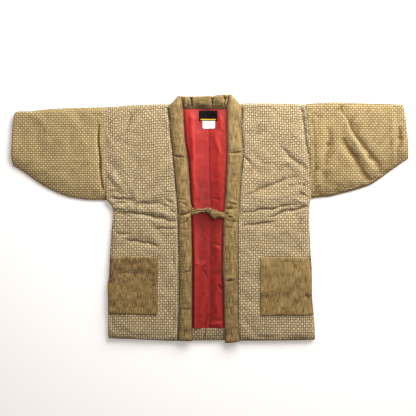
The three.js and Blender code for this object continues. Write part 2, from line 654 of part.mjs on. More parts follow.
function piece(name, body, cloth) {
  const { points, faces } = facingOut(body);
  const geometry = new THREE.BufferGeometry();
  geometry.setAttribute("position", new THREE.Float32BufferAttribute(points.flat(), 3));
  geometry.setIndex(faces.flat());
  geometry.computeVertexNormals();
  const mesh = new THREE.Mesh(geometry, new THREE.MeshStandardMaterial(cloth));
  mesh.name = name;
  group.add(mesh);
}

piece("right_back", backPanel(rightSide, level(CENTRE_BACK_X - GAP / 2)), BODY_CLOTH);
piece("left_back", backPanel(level(CENTRE_BACK_X + GAP / 2), leftSide), BODY_CLOTH);
piece("right_front", padded(rightFront), BODY_CLOTH);
piece("left_front", padded(leftFront), BODY_CLOTH);
piece("right_sleeve", sleeve(
  shifted(rightSide, beforeSeam), through(RIGHT_CUFF, "y", "x"),
  through(RIGHT_SLEEVE_BOTTOM, "x", "y"), through(RIGHT_SLEEVE_TOP, "x", "y"), RIGHT_SLEEVE_FOLDS,
), SLEEVE_CLOTH);
piece("left_sleeve", sleeve(
  shifted(leftSide, afterSeam), through(LEFT_CUFF, "y", "x"),
  through(LEFT_SLEEVE_BOTTOM, "x", "y"), through(LEFT_SLEEVE_TOP, "x", "y"), LEFT_SLEEVE_FOLDS,
), SLEEVE_CLOTH);
piece("collar_right", bandCut(
  rightBandOuter, rightBandInner, RIGHT_BAND_END, RIGHT_BAND[0].y, RIGHT_BAND_FOLDS,
), PLAIN_CLOTH);
piece("collar_left", bandCut(
  leftBandInner, leftBandOuter, LEFT_BAND_END, LEFT_BAND[0].y, LEFT_BAND_FOLDS,
), PLAIN_CLOTH);
piece("collar_neck", neckCut(), PLAIN_CLOTH);
piece("right_pocket", pocketOn(rightFront, 0, rightFront.pocketColumn), PLAIN_CLOTH);
piece("left_pocket", pocketOn(leftFront, leftFront.pocketColumn, 1), PLAIN_CLOTH);
piece("tie_right", joined(strap(RIGHT_TIE), strap(RIGHT_TIE_END)), PLAIN_CLOTH);
piece("tie_left", joined(strap(LEFT_TIE), strap(LEFT_TIE_END)), PLAIN_CLOTH);
piece("lining_right", liningHalf(
  shifted(rightBandInner, -UNDER_BAND), shifted(liningSeam, -GAP / 2),
), RED_LINING);
piece("lining_left", liningHalf(
  shifted(liningSeam, GAP / 2), shifted(leftBandInner, UNDER_BAND),
), RED_LINING);
piece("hem_facing", hemFacing(), BODY_CLOTH);
piece("label", labelOf(LABEL), LABEL_CLOTH);
piece("size_tag", labelOf(SIZE_TAG), TAG_CLOTH);

export default group;
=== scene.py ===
# %% [markdown]
# # A padded hanten jacket, laid flat
#
# A hanten is a short quilted jacket: two cloths with cotton wadding between them, cut from narrow
# lengths and folded at the shoulders. This one lies on its back on a pale table and is tied once in front.
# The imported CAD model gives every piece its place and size. This lesson puts cloth on it, piece by piece.
# Lengths in the tables are millimetres, X to the wearer's left, Y to the collar, Z up from the table.

# %% Load the frame
import math

import bmesh
import bpy
import numpy as np
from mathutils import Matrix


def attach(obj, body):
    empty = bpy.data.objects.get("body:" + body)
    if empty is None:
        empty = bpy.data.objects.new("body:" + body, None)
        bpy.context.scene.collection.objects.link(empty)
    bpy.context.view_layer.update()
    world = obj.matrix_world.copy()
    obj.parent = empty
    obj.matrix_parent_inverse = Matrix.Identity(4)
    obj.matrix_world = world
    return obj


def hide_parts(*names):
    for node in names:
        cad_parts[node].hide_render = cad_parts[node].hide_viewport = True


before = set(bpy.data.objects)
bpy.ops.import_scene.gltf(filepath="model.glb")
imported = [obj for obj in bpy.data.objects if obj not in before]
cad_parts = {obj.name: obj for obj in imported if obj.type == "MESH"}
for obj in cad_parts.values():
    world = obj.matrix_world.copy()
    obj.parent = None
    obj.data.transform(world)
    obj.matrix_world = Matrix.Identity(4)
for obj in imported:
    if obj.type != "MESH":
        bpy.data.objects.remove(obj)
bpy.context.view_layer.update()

MM = 0.001
print("nodes in the frame:", len(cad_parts))

# %% [markdown]
# ## Camera
# The photograph looks straight down from a good way off. A long lens far above keeps the cuffs as wide as
# the body. The distance follows from the lens and from the width that the picture has to hold.

# %% Camera
PICTURE_WIDTH = 416 * 3.25 * MM
LENS, SENSOR = 70.0, 36.0
JACKET_HEIGHT = 0.012
camera_data = bpy.data.cameras.new("camera")
camera_data.lens, camera_data.sensor_width = LENS, SENSOR
camera = bpy.data.objects.new("camera", camera_data)
camera.location = (-0.0065, 0.0341, JACKET_HEIGHT + PICTURE_WIDTH * LENS / SENSOR)
bpy.context.scene.collection.objects.link(camera)
bpy.context.scene.camera = camera
print("camera height:", round(camera.location.z, 3))

# %% [markdown]
# ## Shader helpers
# Cloth patterns are sums and products, so a few short helpers keep the node trees readable: two wire values
# and sockets, and each of the others makes one kind of node, such as Math, a smooth step or a colour mix.

# %% Shader helpers
def wire(tree, socket, value):
    if isinstance(value, bpy.types.NodeSocket):
        tree.links.new(value, socket)
    else:
        socket.default_value = value


def wire_all(tree, sockets, **values):
    """Wires sockets by their names, where an underscore stands for a space."""
    for name, value in values.items():
        wire(tree, sockets[name.replace("_", " ")], value)


def calc(tree, operation, *values):
    node = tree.nodes.new("ShaderNodeMath")
    node.operation = operation
    for socket, value in zip(node.inputs, values):
        wire(tree, socket, value)
    return node.outputs[0]


def times(tree, first, second):
    return calc(tree, "MULTIPLY", first, second)


def share_of(tree, first, share, second):
    """A share of the first value, and the rest of the second."""
    return calc(tree, "ADD", times(tree, first, share), times(tree, second, 1 - share))


def step_between(tree, value, low, high, start=0.0, end=1.0):
    node = tree.nodes.new("ShaderNodeMapRange")
    node.interpolation_type = "SMOOTHSTEP"
    wire_all(tree, node.inputs, Value=value, From_Min=low, From_Max=high, To_Min=start, To_Max=end)
    return node.outputs["Result"]


def mixed(tree, factor, first, second):
    node = tree.nodes.new("ShaderNodeMix")
    node.data_type = "RGBA"
    for index, value in ((0, factor), (6, first), (7, second)):
        wire(tree, node.inputs[index], value)
    return node.outputs[2]


def scaled(tree, vector, x, y, z=1.0):
    node = tree.nodes.new("ShaderNodeVectorMath")
    node.operation = "MULTIPLY"
    wire(tree, node.inputs[0], vector)
    node.inputs[1].default_value = (x, y, z)
    return node.outputs[0]


def parts_of(tree, vector):
    node = tree.nodes.new("ShaderNodeSeparateXYZ")
    wire(tree, node.inputs[0], vector)
    return node.outputs


def joined(tree, x, y, z=0.0):
    node = tree.nodes.new("ShaderNodeCombineXYZ")
    wire_all(tree, node.inputs, X=x, Y=y, Z=z)
    return node.outputs[0]


def noise(tree, vector, detail=2.0):
    node = tree.nodes.new("ShaderNodeTexNoise")
    wire_all(tree, node.inputs, Vector=vector, Scale=1.0, Detail=detail, Roughness=0.5)
    return node.outputs[0]


def new_group(name, inputs, outputs):
    group = bpy.data.node_groups.new(name, "ShaderNodeTree")
    for label, kind, value in inputs:
        socket = group.interface.new_socket(label, in_out="INPUT", socket_type="NodeSocket" + kind)
        if value is not None:
            socket.default_value = value
    for label, kind in outputs:
        group.interface.new_socket(label, in_out="OUTPUT", socket_type="NodeSocket" + kind)
    start, end = group.nodes.new("NodeGroupInput"), group.nodes.new("NodeGroupOutput")
    return group, start.outputs, end.inputs


def srgb(red, green, blue):
    linear = [((c / 255 + 0.055) / 1.055) ** 2.4 if c > 10 else c / 255 / 12.92 for c in (red, green, blue)]
    return (*linear, 1.0)


# %% [markdown]
# ## The patterned cloth
# The body and sleeves are one dobby cloth: columns of short ivory floats on a khaki ground, every second
# column dropped by half, with dark threads where a float dives under. A repeat like this could be tiled
# from a picture, but worked out from the flat cloth's own coordinates it stays sharp at any distance and
# follows every fold. The group gives masks and a height, and each material chooses its own colours.

# %% Float weave group
def float_weave_group():
    group, given, result = new_group("float weave", [
        ("Cloth", "Vector", None), ("Pitch", "Float", 0.007), ("Row", "Float", 0.00825),
        ("Float width", "Float", 0.60), ("Float length", "Float", 0.74),
    ], [("Float", "Float"), ("Gold", "Float"), ("Dark", "Float"), ("Thread", "Float"), ("Height", "Float")])
    cloth = given["Cloth"]
    waver = noise(group, scaled(group, cloth, 28, 28), 1.0)
    parts = parts_of(group, cloth)
    wander = times(group, calc(group, "SUBTRACT", waver, 0.5), 0.0040)
    across = calc(group, "DIVIDE", calc(group, "ADD", parts["X"], wander), given["Pitch"])
    along = calc(group, "DIVIDE", calc(group, "ADD", parts["Y"], wander), given["Row"])
    column, row = calc(group, "FLOOR", across), calc(group, "FLOOR", along)
    odd = calc(group, "FLOORED_MODULO", calc(group, "ADD", column, row), 2.0)
    chance = group.nodes.new("ShaderNodeTexWhiteNoise")
    chance.noise_dimensions = "2D"
    wire(group, chance.inputs["Vector"], joined(group, column, row))
    shine = calc(group, "MULTIPLY_ADD", chance.outputs["Value"], 0.44, 0.56)

    def off_middle(place):
        return calc(group, "ABSOLUTE", calc(group, "SUBTRACT", calc(group, "FRACT", place), 0.5))

    def inside(off, size, soft=0.09):
        half = times(group, size, 0.5)
        return step_between(group, off, calc(group, "ADD", half, soft), calc(group, "SUBTRACT", half, soft))

    off_column, off_row = off_middle(across), off_middle(along)
    cover = times(group, inside(off_column, given["Float width"]), inside(off_row, given["Float length"]))
    floats = times(group, times(group, cover, calc(group, "SUBTRACT", 1.0, odd)), shine)
    gold = times(group, times(group, cover, odd), shine)
    beside_column = times(group, step_between(group, off_column, 0.34, 0.5), 0.6)
    beside_row = times(group, step_between(group, off_row, 0.34, 0.5), 0.8)
    broken = step_between(group, noise(group, scaled(group, cloth, 210, 210)), 0.36, 0.62, 0.25, 1.0)
    dark = times(group, calc(group, "MAXIMUM", beside_row, beside_column), broken)
    thread = noise(group, scaled(group, cloth, 900, 60))
    raised = calc(group, "ADD", floats, times(group, gold, 0.7))
    height = calc(group, "ADD", raised, times(group, thread, 0.25))
    wire_all(group, result, Float=floats, Gold=gold, Dark=dark, Thread=thread, Height=height)
    return group


FLOAT_WEAVE = float_weave_group()
print("made", FLOAT_WEAVE.name, "with", len(FLOAT_WEAVE.nodes), "nodes")

# %% [markdown]
# ## The plain slubbed cloth
# The collar, pockets and ties are a plain cloth of uneven yarn: thick and thin stretches run along each
# thread and show as short streaks. Noise stretched many times along the yarn gives such streaks, and a
# second, finer one across it gives the weft.

# %% Slub weave group
def slub_weave_group():
    group, given, result = new_group("slub weave", [
        ("Cloth", "Vector", None), ("Slub width", "Float", 500.0), ("Slub length", "Float", 28.0),
    ], [("Tone", "Float"), ("Patch", "Float"), ("Height", "Float")])
    parts = parts_of(group, given["Cloth"])

    def streaks(width, length, layer):
        x, y = times(group, parts["X"], width), times(group, parts["Y"], length)
        return noise(group, joined(group, x, y, layer))

    warp = streaks(given["Slub width"], given["Slub length"], 0.0)
    weft = streaks(given["Slub length"], given["Slub width"], 5.0)
    tone = share_of(group, warp, 0.7, weft)
    patch = noise(group, scaled(group, given["Cloth"], 75, 26))
    wire_all(group, result, Tone=tone, Patch=patch, Height=tone)
    return group


SLUB_WEAVE = slub_weave_group()
print("made", SLUB_WEAVE.name, "with", len(SLUB_WEAVE.nodes), "nodes")

# %% [markdown]
# ## Creases and ridges
# The colour is darkened down in a crease: painted shade. It is paled along a ridge: painted highlight,
# mixed with a little rubbed wear. The mesh knows where its creases are: each point carries a number called
# swell, below zero in a hollow and above zero on a ridge. Some pieces add painted shading to it, darker or
# paler over a whole edge or part, as the light would make it. This group turns the number into colour.

# %% Crease shade group
def crease_shade_group():
    group, given, result = new_group("crease shade", [
        ("Color", "Color", None), ("Swell", "Float", 0.0), ("Hollow", "Color", None),
        ("Ridge", "Color", None), ("Hollow amount", "Float", 0.7), ("Ridge amount", "Float", 0.3),
    ], [("Color", "Color")])
    # Painted shade mixed in below zero, and painted highlight with a little rubbed wear above zero.
    down = step_between(group, given["Swell"], 0.0, -1.0)
    up = step_between(group, given["Swell"], 0.0, 1.0)
    shaded = mixed(group, times(group, down, given["Hollow amount"]), given["Color"], given["Hollow"])
    highlit_and_rubbed = mixed(group, times(group, up, given["Ridge amount"]), shaded, given["Ridge"])
    wire(group, result["Color"], highlit_and_rubbed)
    return group


CREASE_SHADE = crease_shade_group()
print("made", CREASE_SHADE.name, "with", len(CREASE_SHADE.nodes), "nodes")

# %% [markdown]
# ## Materials
# Every cloth is a Principled BSDF with a rough surface, a little sheen for its nap, and a bump from its
# weave. The pattern reads the UV map called cloth, which holds each point's place on the flat cloth in
# metres. Numbers that are the same all over sit on the shader's own sockets.

# %% Material helpers
def new_material(name, roughness, sheen):
    material = bpy.data.materials.new(name)
    material.use_nodes = True
    tree = material.node_tree
    shader = tree.nodes["Principled BSDF"]
    wire_all(tree, shader.inputs, Roughness=roughness, Sheen_Weight=sheen, Sheen_Roughness=0.5,
             Specular_IOR_Level=0.25)
    place = tree.nodes.new("ShaderNodeUVMap")
    place.uv_map = "cloth"
    return material, tree, shader, place.outputs["UV"]


def use_group(tree, group, **values):
    node = tree.nodes.new("ShaderNodeGroup")
    node.node_tree = group
    wire_all(tree, node.inputs, **values)
    return node.outputs


# Mixes the painted crease shade and the painted ridge highlight into the base colour.
def colour_with_creases(tree, shader, colour, hollow, ridge, hollow_amount, ridge_amount):
    swell = tree.nodes.new("ShaderNodeAttribute")
    swell.attribute_name = "swell"
    shaded = use_group(tree, CREASE_SHADE, Color=colour, Swell=swell.outputs["Fac"], Hollow=hollow,
                       Ridge=ridge, Hollow_amount=hollow_amount, Ridge_amount=ridge_amount)
    wire(tree, shader.inputs["Base Color"], shaded["Color"])


def add_bump(tree, shader, height, distance):
    bump = tree.nodes.new("ShaderNodeBump")
    wire_all(tree, bump.inputs, Strength=1.0, Distance=distance, Height=height)
    wire(tree, shader.inputs["Normal"], bump.outputs["Normal"])


# %% Patterned cloths
def patterned_cloth(name, pitch, row, ground, deep, dark, gold, ivory, hollow, hollow_amount):
    material, tree, shader, cloth = new_material(name, roughness=0.9, sheen=0.15)
    weave = use_group(tree, FLOAT_WEAVE, Cloth=cloth, Pitch=pitch, Row=row)
    threads = share_of(tree, weave["Thread"], 0.6, noise(tree, scaled(tree, cloth, 16, 9)))
    colour = mixed(tree, step_between(tree, threads, 0.35, 0.65), deep, ground)
    for mask, yarn in (("Dark", dark), ("Gold", gold), ("Float", ivory)):
        colour = mixed(tree, weave[mask], colour, yarn)
    # Painted shade in the creases, in the hollow colour, and painted highlight on the ridges, in ivory.
    colour_with_creases(tree, shader, colour, hollow, ivory, hollow_amount, ridge_amount=0.18)
    add_bump(tree, shader, weave["Height"], distance=0.0012)
    return material


# The hollow colours are the painted crease shade.
BODY_CLOTH = patterned_cloth(
    "body cloth", pitch=0.00705, row=0.00827, ground=srgb(158, 131, 88), deep=srgb(130, 105, 68),
    dark=srgb(66, 48, 30), gold=srgb(204, 181, 135), ivory=srgb(238, 222, 188),
    hollow=srgb(82, 58, 30), hollow_amount=0.6)
SLEEVE_CLOTH = patterned_cloth(
    "sleeve cloth", pitch=0.00725, row=0.0064, ground=srgb(168, 140, 91), deep=srgb(140, 113, 68),
    dark=srgb(86, 62, 30), gold=srgb(194, 168, 114), ivory=srgb(230, 212, 166),
    hollow=srgb(98, 68, 18), hollow_amount=0.8)
print("patterned cloths:", BODY_CLOTH.name, "and", SLEEVE_CLOTH.name)


# %% Plain, lining, tag and thread cloths
def plain_cloth(name, light, deep, slub_width, slub_length):
    material, tree, shader, cloth = new_material(name, roughness=0.92, sheen=0.15)
    weave = use_group(tree, SLUB_WEAVE, Cloth=cloth, Slub_width=slub_width, Slub_length=slub_length)
    tone = step_between(tree, weave["Tone"], 0.40, 0.60)
    patch = step_between(tree, weave["Patch"], 0.30, 0.70)
    colour = mixed(tree, share_of(tree, tone, 0.75, patch), deep, light)
    # Painted shade in the creases and painted highlight, with a little rubbed wear, on the ridges.
    colour_with_creases(tree, shader, colour, srgb(40, 28, 12), srgb(206, 178, 124),
                        hollow_amount=0.7, ridge_amount=0.22)
    add_bump(tree, shader, weave["Height"], distance=0.0009)
    return material


def smooth_cloth(name, light, deep, roughness, sheen):
    material, tree, shader, cloth = new_material(name, roughness, sheen)
    threads = noise(tree, scaled(tree, cloth, 1400, 1400), 1.0)
    patch = noise(tree, scaled(tree, cloth, 14, 7))
    colour = mixed(tree, step_between(tree, share_of(tree, threads, 0.35, patch), 0.3, 0.7), deep, light)
    # Painted shade in the creases, and a strong painted highlight on the ridges for the satin's gloss.
    hollow = tuple(0.35 * value for value in deep[:3]) + (1.0,)
    ridge = tuple(min(1, 1.6 * value) for value in light[:3]) + (1.0,)
    colour_with_creases(tree, shader, colour, hollow, ridge, hollow_amount=0.6, ridge_amount=0.5)
    add_bump(tree, shader, threads, distance=0.0003)
    return material


PLAIN_CLOTH = plain_cloth("plain cloth", srgb(170, 142, 90), srgb(84, 63, 30),
                          slub_width=500.0, slub_length=28.0)
POCKET_CLOTH = plain_cloth("pocket cloth", srgb(172, 141, 88), srgb(88, 66, 33),
                           slub_width=600.0, slub_length=42.0)
RED_LINING = smooth_cloth("red lining", srgb(176, 44, 38), srgb(156, 32, 28), roughness=0.48, sheen=0.1)
TAG_CLOTH = smooth_cloth("tag cloth", srgb(250, 249, 246), srgb(240, 239, 236), roughness=0.8, sheen=0.0)
THREAD = smooth_cloth("thread", srgb(120, 96, 58), srgb(92, 70, 40), roughness=0.8, sheen=0.0)
print("plain cloths:", PLAIN_CLOTH.name, POCKET_CLOTH.name, RED_LINING.name, TAG_CLOTH.name, THREAD.name)


# %% [markdown]
# ## The black label
# A woven label with one plain gold bar along its lower edge. The bar is a mask from the label's own
# coordinates, so it keeps its crisp edge.

# %% Label cloth
def label_cloth():
    material, tree, shader, cloth = new_material("label cloth", roughness=0.6, sheen=0.0)
    parts = parts_of(tree, cloth)
    centre_x, half_bar, bar_low, bar_high, soft = -0.0057, 0.0245, 0.3196, 0.3232, 0.0003
    off = calc(tree, "ABSOLUTE", calc(tree, "SUBTRACT", parts["X"], centre_x))
    across = step_between(tree, off, half_bar + 0.0004, half_bar - 0.0004)
    above = step_between(tree, parts["Y"], bar_low - soft, bar_low + soft)
    below = step_between(tree, parts["Y"], bar_high + soft, bar_high - soft)
    bar = times(tree, across, times(tree, above, below))
    threads = noise(tree, scaled(tree, cloth, 2600, 700), 1.0)
    black = mixed(tree, threads, srgb(6, 5, 5), srgb(16, 14, 12))
    colour = mixed(tree, bar, black, srgb(226, 176, 52))
    wire_all(tree, shader.inputs, Base_Color=colour, Specular_IOR_Level=0.08)
    add_bump(tree, shader, threads, distance=0.0003)
    return material


LABEL_CLOTH = label_cloth()
print("made", LABEL_CLOTH.name)

# %% [markdown]
# ## Curves through tables
# The outlines are tables of a few measured points. A cubic with limited slopes runs through them with no
# overshoot, which suits cloth edges better than a free spline. The same rule shapes the CAD solids, so the
# cloth lies on them.

# %% Tables and curves
def table(columns, rows):
    return {name: np.array([row[i] for row in rows], float) for i, name in enumerate(columns.split())}


def through(rows, place, value):
    order = np.argsort(rows[place])
    at, to = rows[place][order], rows[value][order]
    rate = np.diff(to) / np.diff(at)
    slope = np.concatenate([rate[:1], np.zeros(len(at) - 2), rate[-1:]])
    before, after = rate[:-1], rate[1:]
    together = before * after > 0
    slope[1:-1][together] = (2 * before * after)[together] / (before + after)[together]

    def line(x):
        here = np.clip(x, at[0], at[-1])
        i = np.clip(np.searchsorted(at, here) - 1, 0, len(at) - 2)
        span = at[i + 1] - at[i]
        t = (here - at[i]) / span
        blend, ease = t * t * (3 - 2 * t), span * t * (1 - t)
        return to[i] + (to[i + 1] - to[i]) * blend + ease * ((1 - t) * slope[i] - t * slope[i + 1])

    return line


def curve(columns, rows):
    """A curve through a table of two columns, from the first to the second."""
    place, value = columns.split()
    return through(table(columns, rows), place, value)


# %% Outlines of the body
right_side = curve("y x", [
    (372, -341), (288, -341), (158, -340), (80, -337), (58, -334), (48, -325), (34, -317), (15, -315),
    (-40, -320), (-122, -325), (-184, -328), (-219, -333), (-260, -331), (-380, -331), (-392, -328),
])
left_side = curve("y x", [
    (372, 309), (346, 313.5), (294, 319.5), (222, 325), (140, 326.5), (66, 327), (44, 323.5), (-5, 323),
    (-119, 328), (-184, 331), (-249, 331.5), (-304, 336), (-362, 341), (-388, 342), (-396, 339),
])
shoulder = curve("x y", [
    (-341, 362), (-292, 365.5), (-260, 369), (-136, 372), (97, 372), (114, 375.5), (244, 374.5),
    (309, 370.5),
])
hem = curve("x y", [
    (-331, -390), (-260, -392), (-195, -395), (-104, -398), (97, -397.5), (292, -396), (340, -394),
])
neckline = curve("x y", [
    (-137, 371.5), (-120, 364), (-92, 359), (-20, 358.5), (55, 359.5), (82, 364), (98, 371.5),
])
print("armholes at x", right_side(200.0), left_side(200.0))

# %% Outlines of the collar bands
RIGHT_BAND = table("y outer inner", [
    (398.4, -103.4, -97.5), (396.5, -107, -95), (390, -112.5, -92.6), (378.6, -120, -90.7),
    (370.5, -129, -89.4),
    (360, -135.5, -88.2), (343, -134.5, -87), (326.6, -131.6, -86), (287.6, -130, -83.8),
    (245, -125, -80.3), (200, -120, -73), (174, -118, -70), (92.6, -110.5, -65), (50, -106.6, -61.8),
    (37, -105.6, -59.2), (5, -104, -61.8), (-70, -102.4, -60), (-135, -101.4, -58.5), (-265, -100.8, -58.5),
    (-388, -104, -58.5),
])
LEFT_BAND = table("y outer inner", [
    (404.4, 68, 65.5), (401.4, 70.8, 62.7), (396.5, 74.8, 61.4), (386.7, 84.5, 59.5), (373.7, 95.2, 57),
    (362.4, 102.4, 55.3), (346, 104, 55.2), (320, 102.4, 55.2), (294, 100, 55.2), (261.6, 104, 55.2),
    (206, 107.2, 56.5), (190, 105.6, 55.2), (92.6, 97.5, 50.4), (11, 94.2, 45.5), (-21, 91, 43.9),
    (-70, 91, 42.2), (-184, 91, 40.6), (-216, 91, 43.9), (-330, 92.6, 45.5), (-401, 97, 47.8),
])
right_outer, right_inner = through(RIGHT_BAND, "y", "outer"), through(RIGHT_BAND, "y", "inner")
left_outer, left_inner = through(LEFT_BAND, "y", "outer"), through(LEFT_BAND, "y", "inner")
right_band_end = curve("x y", [(-104, -397.5), (-58, -398.5)])
left_band_end = curve("x y", [(47, -404.6), (70, -403.5), (97, -399.7)])
print("opening at the chest:", right_inner(100.0), "to", left_inner(100.0))

# %% [markdown]
# ## Folds, rumples and rounded edges
# A fold is a soft trough or ridge along a short bowed line. It is written as one row: its two ends, how
# far it bows, its half width and its rise. A second half width and rise lay a fine line into a wide fold.
# The lines wander a little, so that none looks ruled. Rumples are smooth noise for the unevenness of
# hand-laid wadding. The rounding gives padding its pillow edge.

# %% Fold, rumple and rounding helpers
LATTICE, START_X, START_Y = 97, 40.37, 40.61


def rumple(x, y, size, seed):
    """Smooth noise from -1 to 1. The start keeps the part's middle off the lattice's own corner."""
    lattice = np.random.default_rng(seed).uniform(-1, 1, (LATTICE, LATTICE))
    gx, gy = np.broadcast_arrays(x / size + START_X, y / size + START_Y)
    i, j = np.floor(gx).astype(int), np.floor(gy).astype(int)
    s, t = gx - i, gy - j
    s, t = s * s * (3 - 2 * s), t * t * (3 - 2 * t)
    corners = [lattice[(i + a) % LATTICE, (j + b) % LATTICE] for a, b in ((0, 0), (1, 0), (0, 1), (1, 1))]
    low = corners[0] * (1 - s) + corners[1] * s
    high = corners[2] * (1 - s) + corners[3] * s
    return low * (1 - t) + high * t


def rumples(x, y, seed, *layers):
    """Several layers of rumple, each with a height, a size and the next seed."""
    return sum(height * rumple(x, y, size, seed + k) for k, (height, size) in enumerate(layers))


def relief(folds, depth=1.0, wander=4.0):
    def height(x, y):
        x, y = x + wander * rumple(x, y, 26, 5), y + wander * rumple(x, y, 21, 6)
        total = np.zeros(np.broadcast(x, y).shape)
        for x0, y0, x1, y1, bow, *profiles in folds:
            dx, dy = x1 - x0, y1 - y0
            length = math.hypot(dx, dy)
            t = np.clip(((x - x0) * dx + (y - y0) * dy) / length ** 2, 0, 1)
            away = ((x - x0) * dy - (y - y0) * dx) / length - bow * 4 * t * (1 - t)
            along = np.sqrt(np.abs(np.sin(np.pi * t)))
            for half, rise in zip(profiles[::2], profiles[1::2]):
                total += depth * rise * along * np.exp(-(away / half) ** 2)
        return total

    return height


def round_off(distance, width):
    return np.sqrt(1 - (1 - np.clip(distance / width, 0, 1)) ** 2)


def edge(distance, width, kept, steep=0.5):
    """What is left of the height near an edge: kept at the edge itself, all of it a width further in."""
    return kept + (1 - kept) * (1 - (1 - np.clip(distance / width, 0, 1)) ** 2) ** steep


# %% [markdown]
# ## From sheets of points to closed cloth
# A padded piece is two sheets of points, an upper and a lower, joined all round their rim. The points sit
# close together near the edges, where the padding rounds off. The upper sheet also gives the flat cloth's
# coordinates: lengths measured along the surface, so the weave closes up where it dives into a fold.

# %% Grids and patches
def fractions(length, pitch, close=(0, 0.6, 1.6, 3.2, 5.5, 8.5)):
    """Steps along a length, from 0 to 1: the close ones near both ends, and even ones between."""
    close = np.array(close, float)
    count = max(2, round((length - 2 * close[-1]) / pitch))
    middle = np.linspace(close[-1], length - close[-1], count + 1)[1:-1]
    return np.concatenate([close, middle, (length - close)[::-1]]) / length


def patch(left, right, bottom, top):
    """The place inside four edges, from 0 to 1 across and up. A few rounds settle x and y together."""
    def place(u, v):
        x, y = np.zeros(np.broadcast(u, v).shape), np.zeros(np.broadcast(u, v).shape)
        for _ in range(8):
            x = left(y) + (right(y) - left(y)) * u
            y = bottom(x) + (top(x) - bottom(x)) * v
        return x, y

    return place


def level(value):
    return lambda at: np.full(np.shape(at), float(value))


def shifted(line, by):
    return lambda at: line(at) + by


def edge_distances(place, u, v):
    width = place(np.ones_like(u), v)[0] - place(np.zeros_like(u), v)[0]
    height = place(u, np.ones_like(v))[1] - place(u, np.zeros_like(v))[1]
    return u * width, (1 - u) * width, v * height, (1 - v) * height


def flat_cloth(points):
    """Lengths along the surface from its middle column and middle row."""
    def run(axis):
        parts = np.linalg.norm(np.diff(points, axis=axis), axis=2)
        total = np.cumsum(np.insert(parts, 0, 0, axis=axis), axis=axis)
        middle = total.shape[axis] // 2
        start = np.take(points[..., 1 - axis], [middle], axis=axis)
        return total - np.take(total, [middle], axis=axis) + start

    return np.stack([run(1), run(0)], axis=2)


# %% Mesh helpers
def sheet_faces(rows, columns):
    at = np.arange(rows * columns).reshape(rows, columns)
    return np.stack([at[:-1, :-1], at[:-1, 1:], at[1:, 1:], at[1:, :-1]], axis=2).reshape(-1, 4)


def rim_of(rows, columns):
    at = np.arange(rows * columns).reshape(rows, columns)
    return np.concatenate([at[0, :-1], at[:-1, -1], at[-1, :0:-1], at[:0:-1, 0]])


def stands_out(z, pitch, reach, full):
    """How far each point of a grid stands above or below its surroundings, from -1 to 1."""
    around = z
    for _ in range(max(1, round(2 * (reach / pitch) ** 2))):
        for axis in (0, 1):
            wide = np.pad(around, [(1, 1) if k == axis else (0, 0) for k in (0, 1)], mode="edge")
            size = z.shape[axis]
            before, after = np.take(wide, range(size), axis), np.take(wide, range(2, size + 2), axis)
            around = (before + 2 * around + after) / 4
    return np.clip((z - around) / full, -1, 1)


def swell_of(z, pitch):
    return 0.6 * stands_out(z, pitch, 3.6, 1.0) + 0.55 * stands_out(z, pitch, 9.0, 2.6)


def make_piece(name, points, faces, cloth, material, swell=None):
    mesh = bpy.data.meshes.new(name)
    mesh.from_pydata((np.asarray(points) * MM).tolist(), [], [list(face) for face in faces])
    corners = np.zeros(len(mesh.loops), int)
    mesh.loops.foreach_get("vertex_index", corners)
    mesh.uv_layers.new(name="cloth").data.foreach_set("uv", (np.asarray(cloth)[corners] * MM).ravel())
    shape = bmesh.new()
    shape.from_mesh(mesh)
    bmesh.ops.recalc_face_normals(shape, faces=shape.faces)
    shape.to_mesh(mesh)
    shape.free()
    mesh.polygons.foreach_set("use_smooth", [True] * len(mesh.polygons))
    values = np.zeros(len(mesh.vertices)) if swell is None else np.asarray(swell, float)
    # The swell attribute carries the painted crease shade and highlight to the materials.
    mesh.attributes.new("swell", "FLOAT", "POINT").data.foreach_set("value", values)
    mesh.materials.append(material)
    piece = bpy.data.objects.new(name, mesh)
    bpy.context.scene.collection.objects.link(piece)
    return piece


def seen_flat(x, y):
    """Cloth coordinates straight from the plan, for pieces that lie flat."""
    return stacked(x, y, 0)[..., :2]


RIM_ROWS = 7


def between(name, upper, lower, material, cloth=None, rim_shade=1.0, tone=0.0):
    """The rim shade is how much painted crease shade stays on the rim. The painted shading is added to the
    swell: painted shade below zero, painted light above.
    """
    rows, columns = upper.shape[:2]
    count = rows * columns
    cloth = flat_cloth(upper) if cloth is None else cloth
    around = rim_of(rows, columns)
    after = np.roll(around, -1)
    faces = np.concatenate([
        sheet_faces(rows, columns), sheet_faces(rows, columns)[:, ::-1] + count,
        np.stack([around, around + count, after + count, after], axis=1),
    ])
    points = np.concatenate([upper.reshape(-1, 3), lower.reshape(-1, 3)])
    flat = np.concatenate([cloth.reshape(-1, 2), cloth.reshape(-1, 2)])
    pitch = np.median(np.linalg.norm(np.diff(upper[..., :2], axis=1), axis=2))
    row, column = np.ogrid[:rows, :columns]
    inside = np.minimum(np.minimum(row, rows - 1 - row), np.minimum(column, columns - 1 - column))
    kept = rim_shade + (1 - rim_shade) * np.clip(inside / RIM_ROWS, 0, 1)
    swell = np.concatenate([(swell_of(upper[..., 2], pitch) * kept + tone).ravel(), np.zeros(count)])
    UPPER[name] = upper
    return make_piece(name, points, faces.tolist(), flat, material, swell)


def stacked(x, y, z):
    return np.stack(np.broadcast_arrays(x, y, z), axis=2).astype(float)


def inset(t, length, by):
    return (by + t * (length - 2 * by)) / length


PIECES, UPPER = [], {}


def dress(piece, nodes):
    """Rides on the one body and stands for its CAD nodes, which it hides."""
    if nodes:
        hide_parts(*nodes)
    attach(piece, "root")
    PIECES.append(piece)
    print(piece.name, "has", len(piece.data.polygons), "faces")
    return piece


# %% [markdown]
# ## The two back panels
# Each half of the back is one narrow length, and the two meet in a seam down the centre back. They carry
# the whole jacket, so their underside is flat on the table except where the seam and the edges draw up.

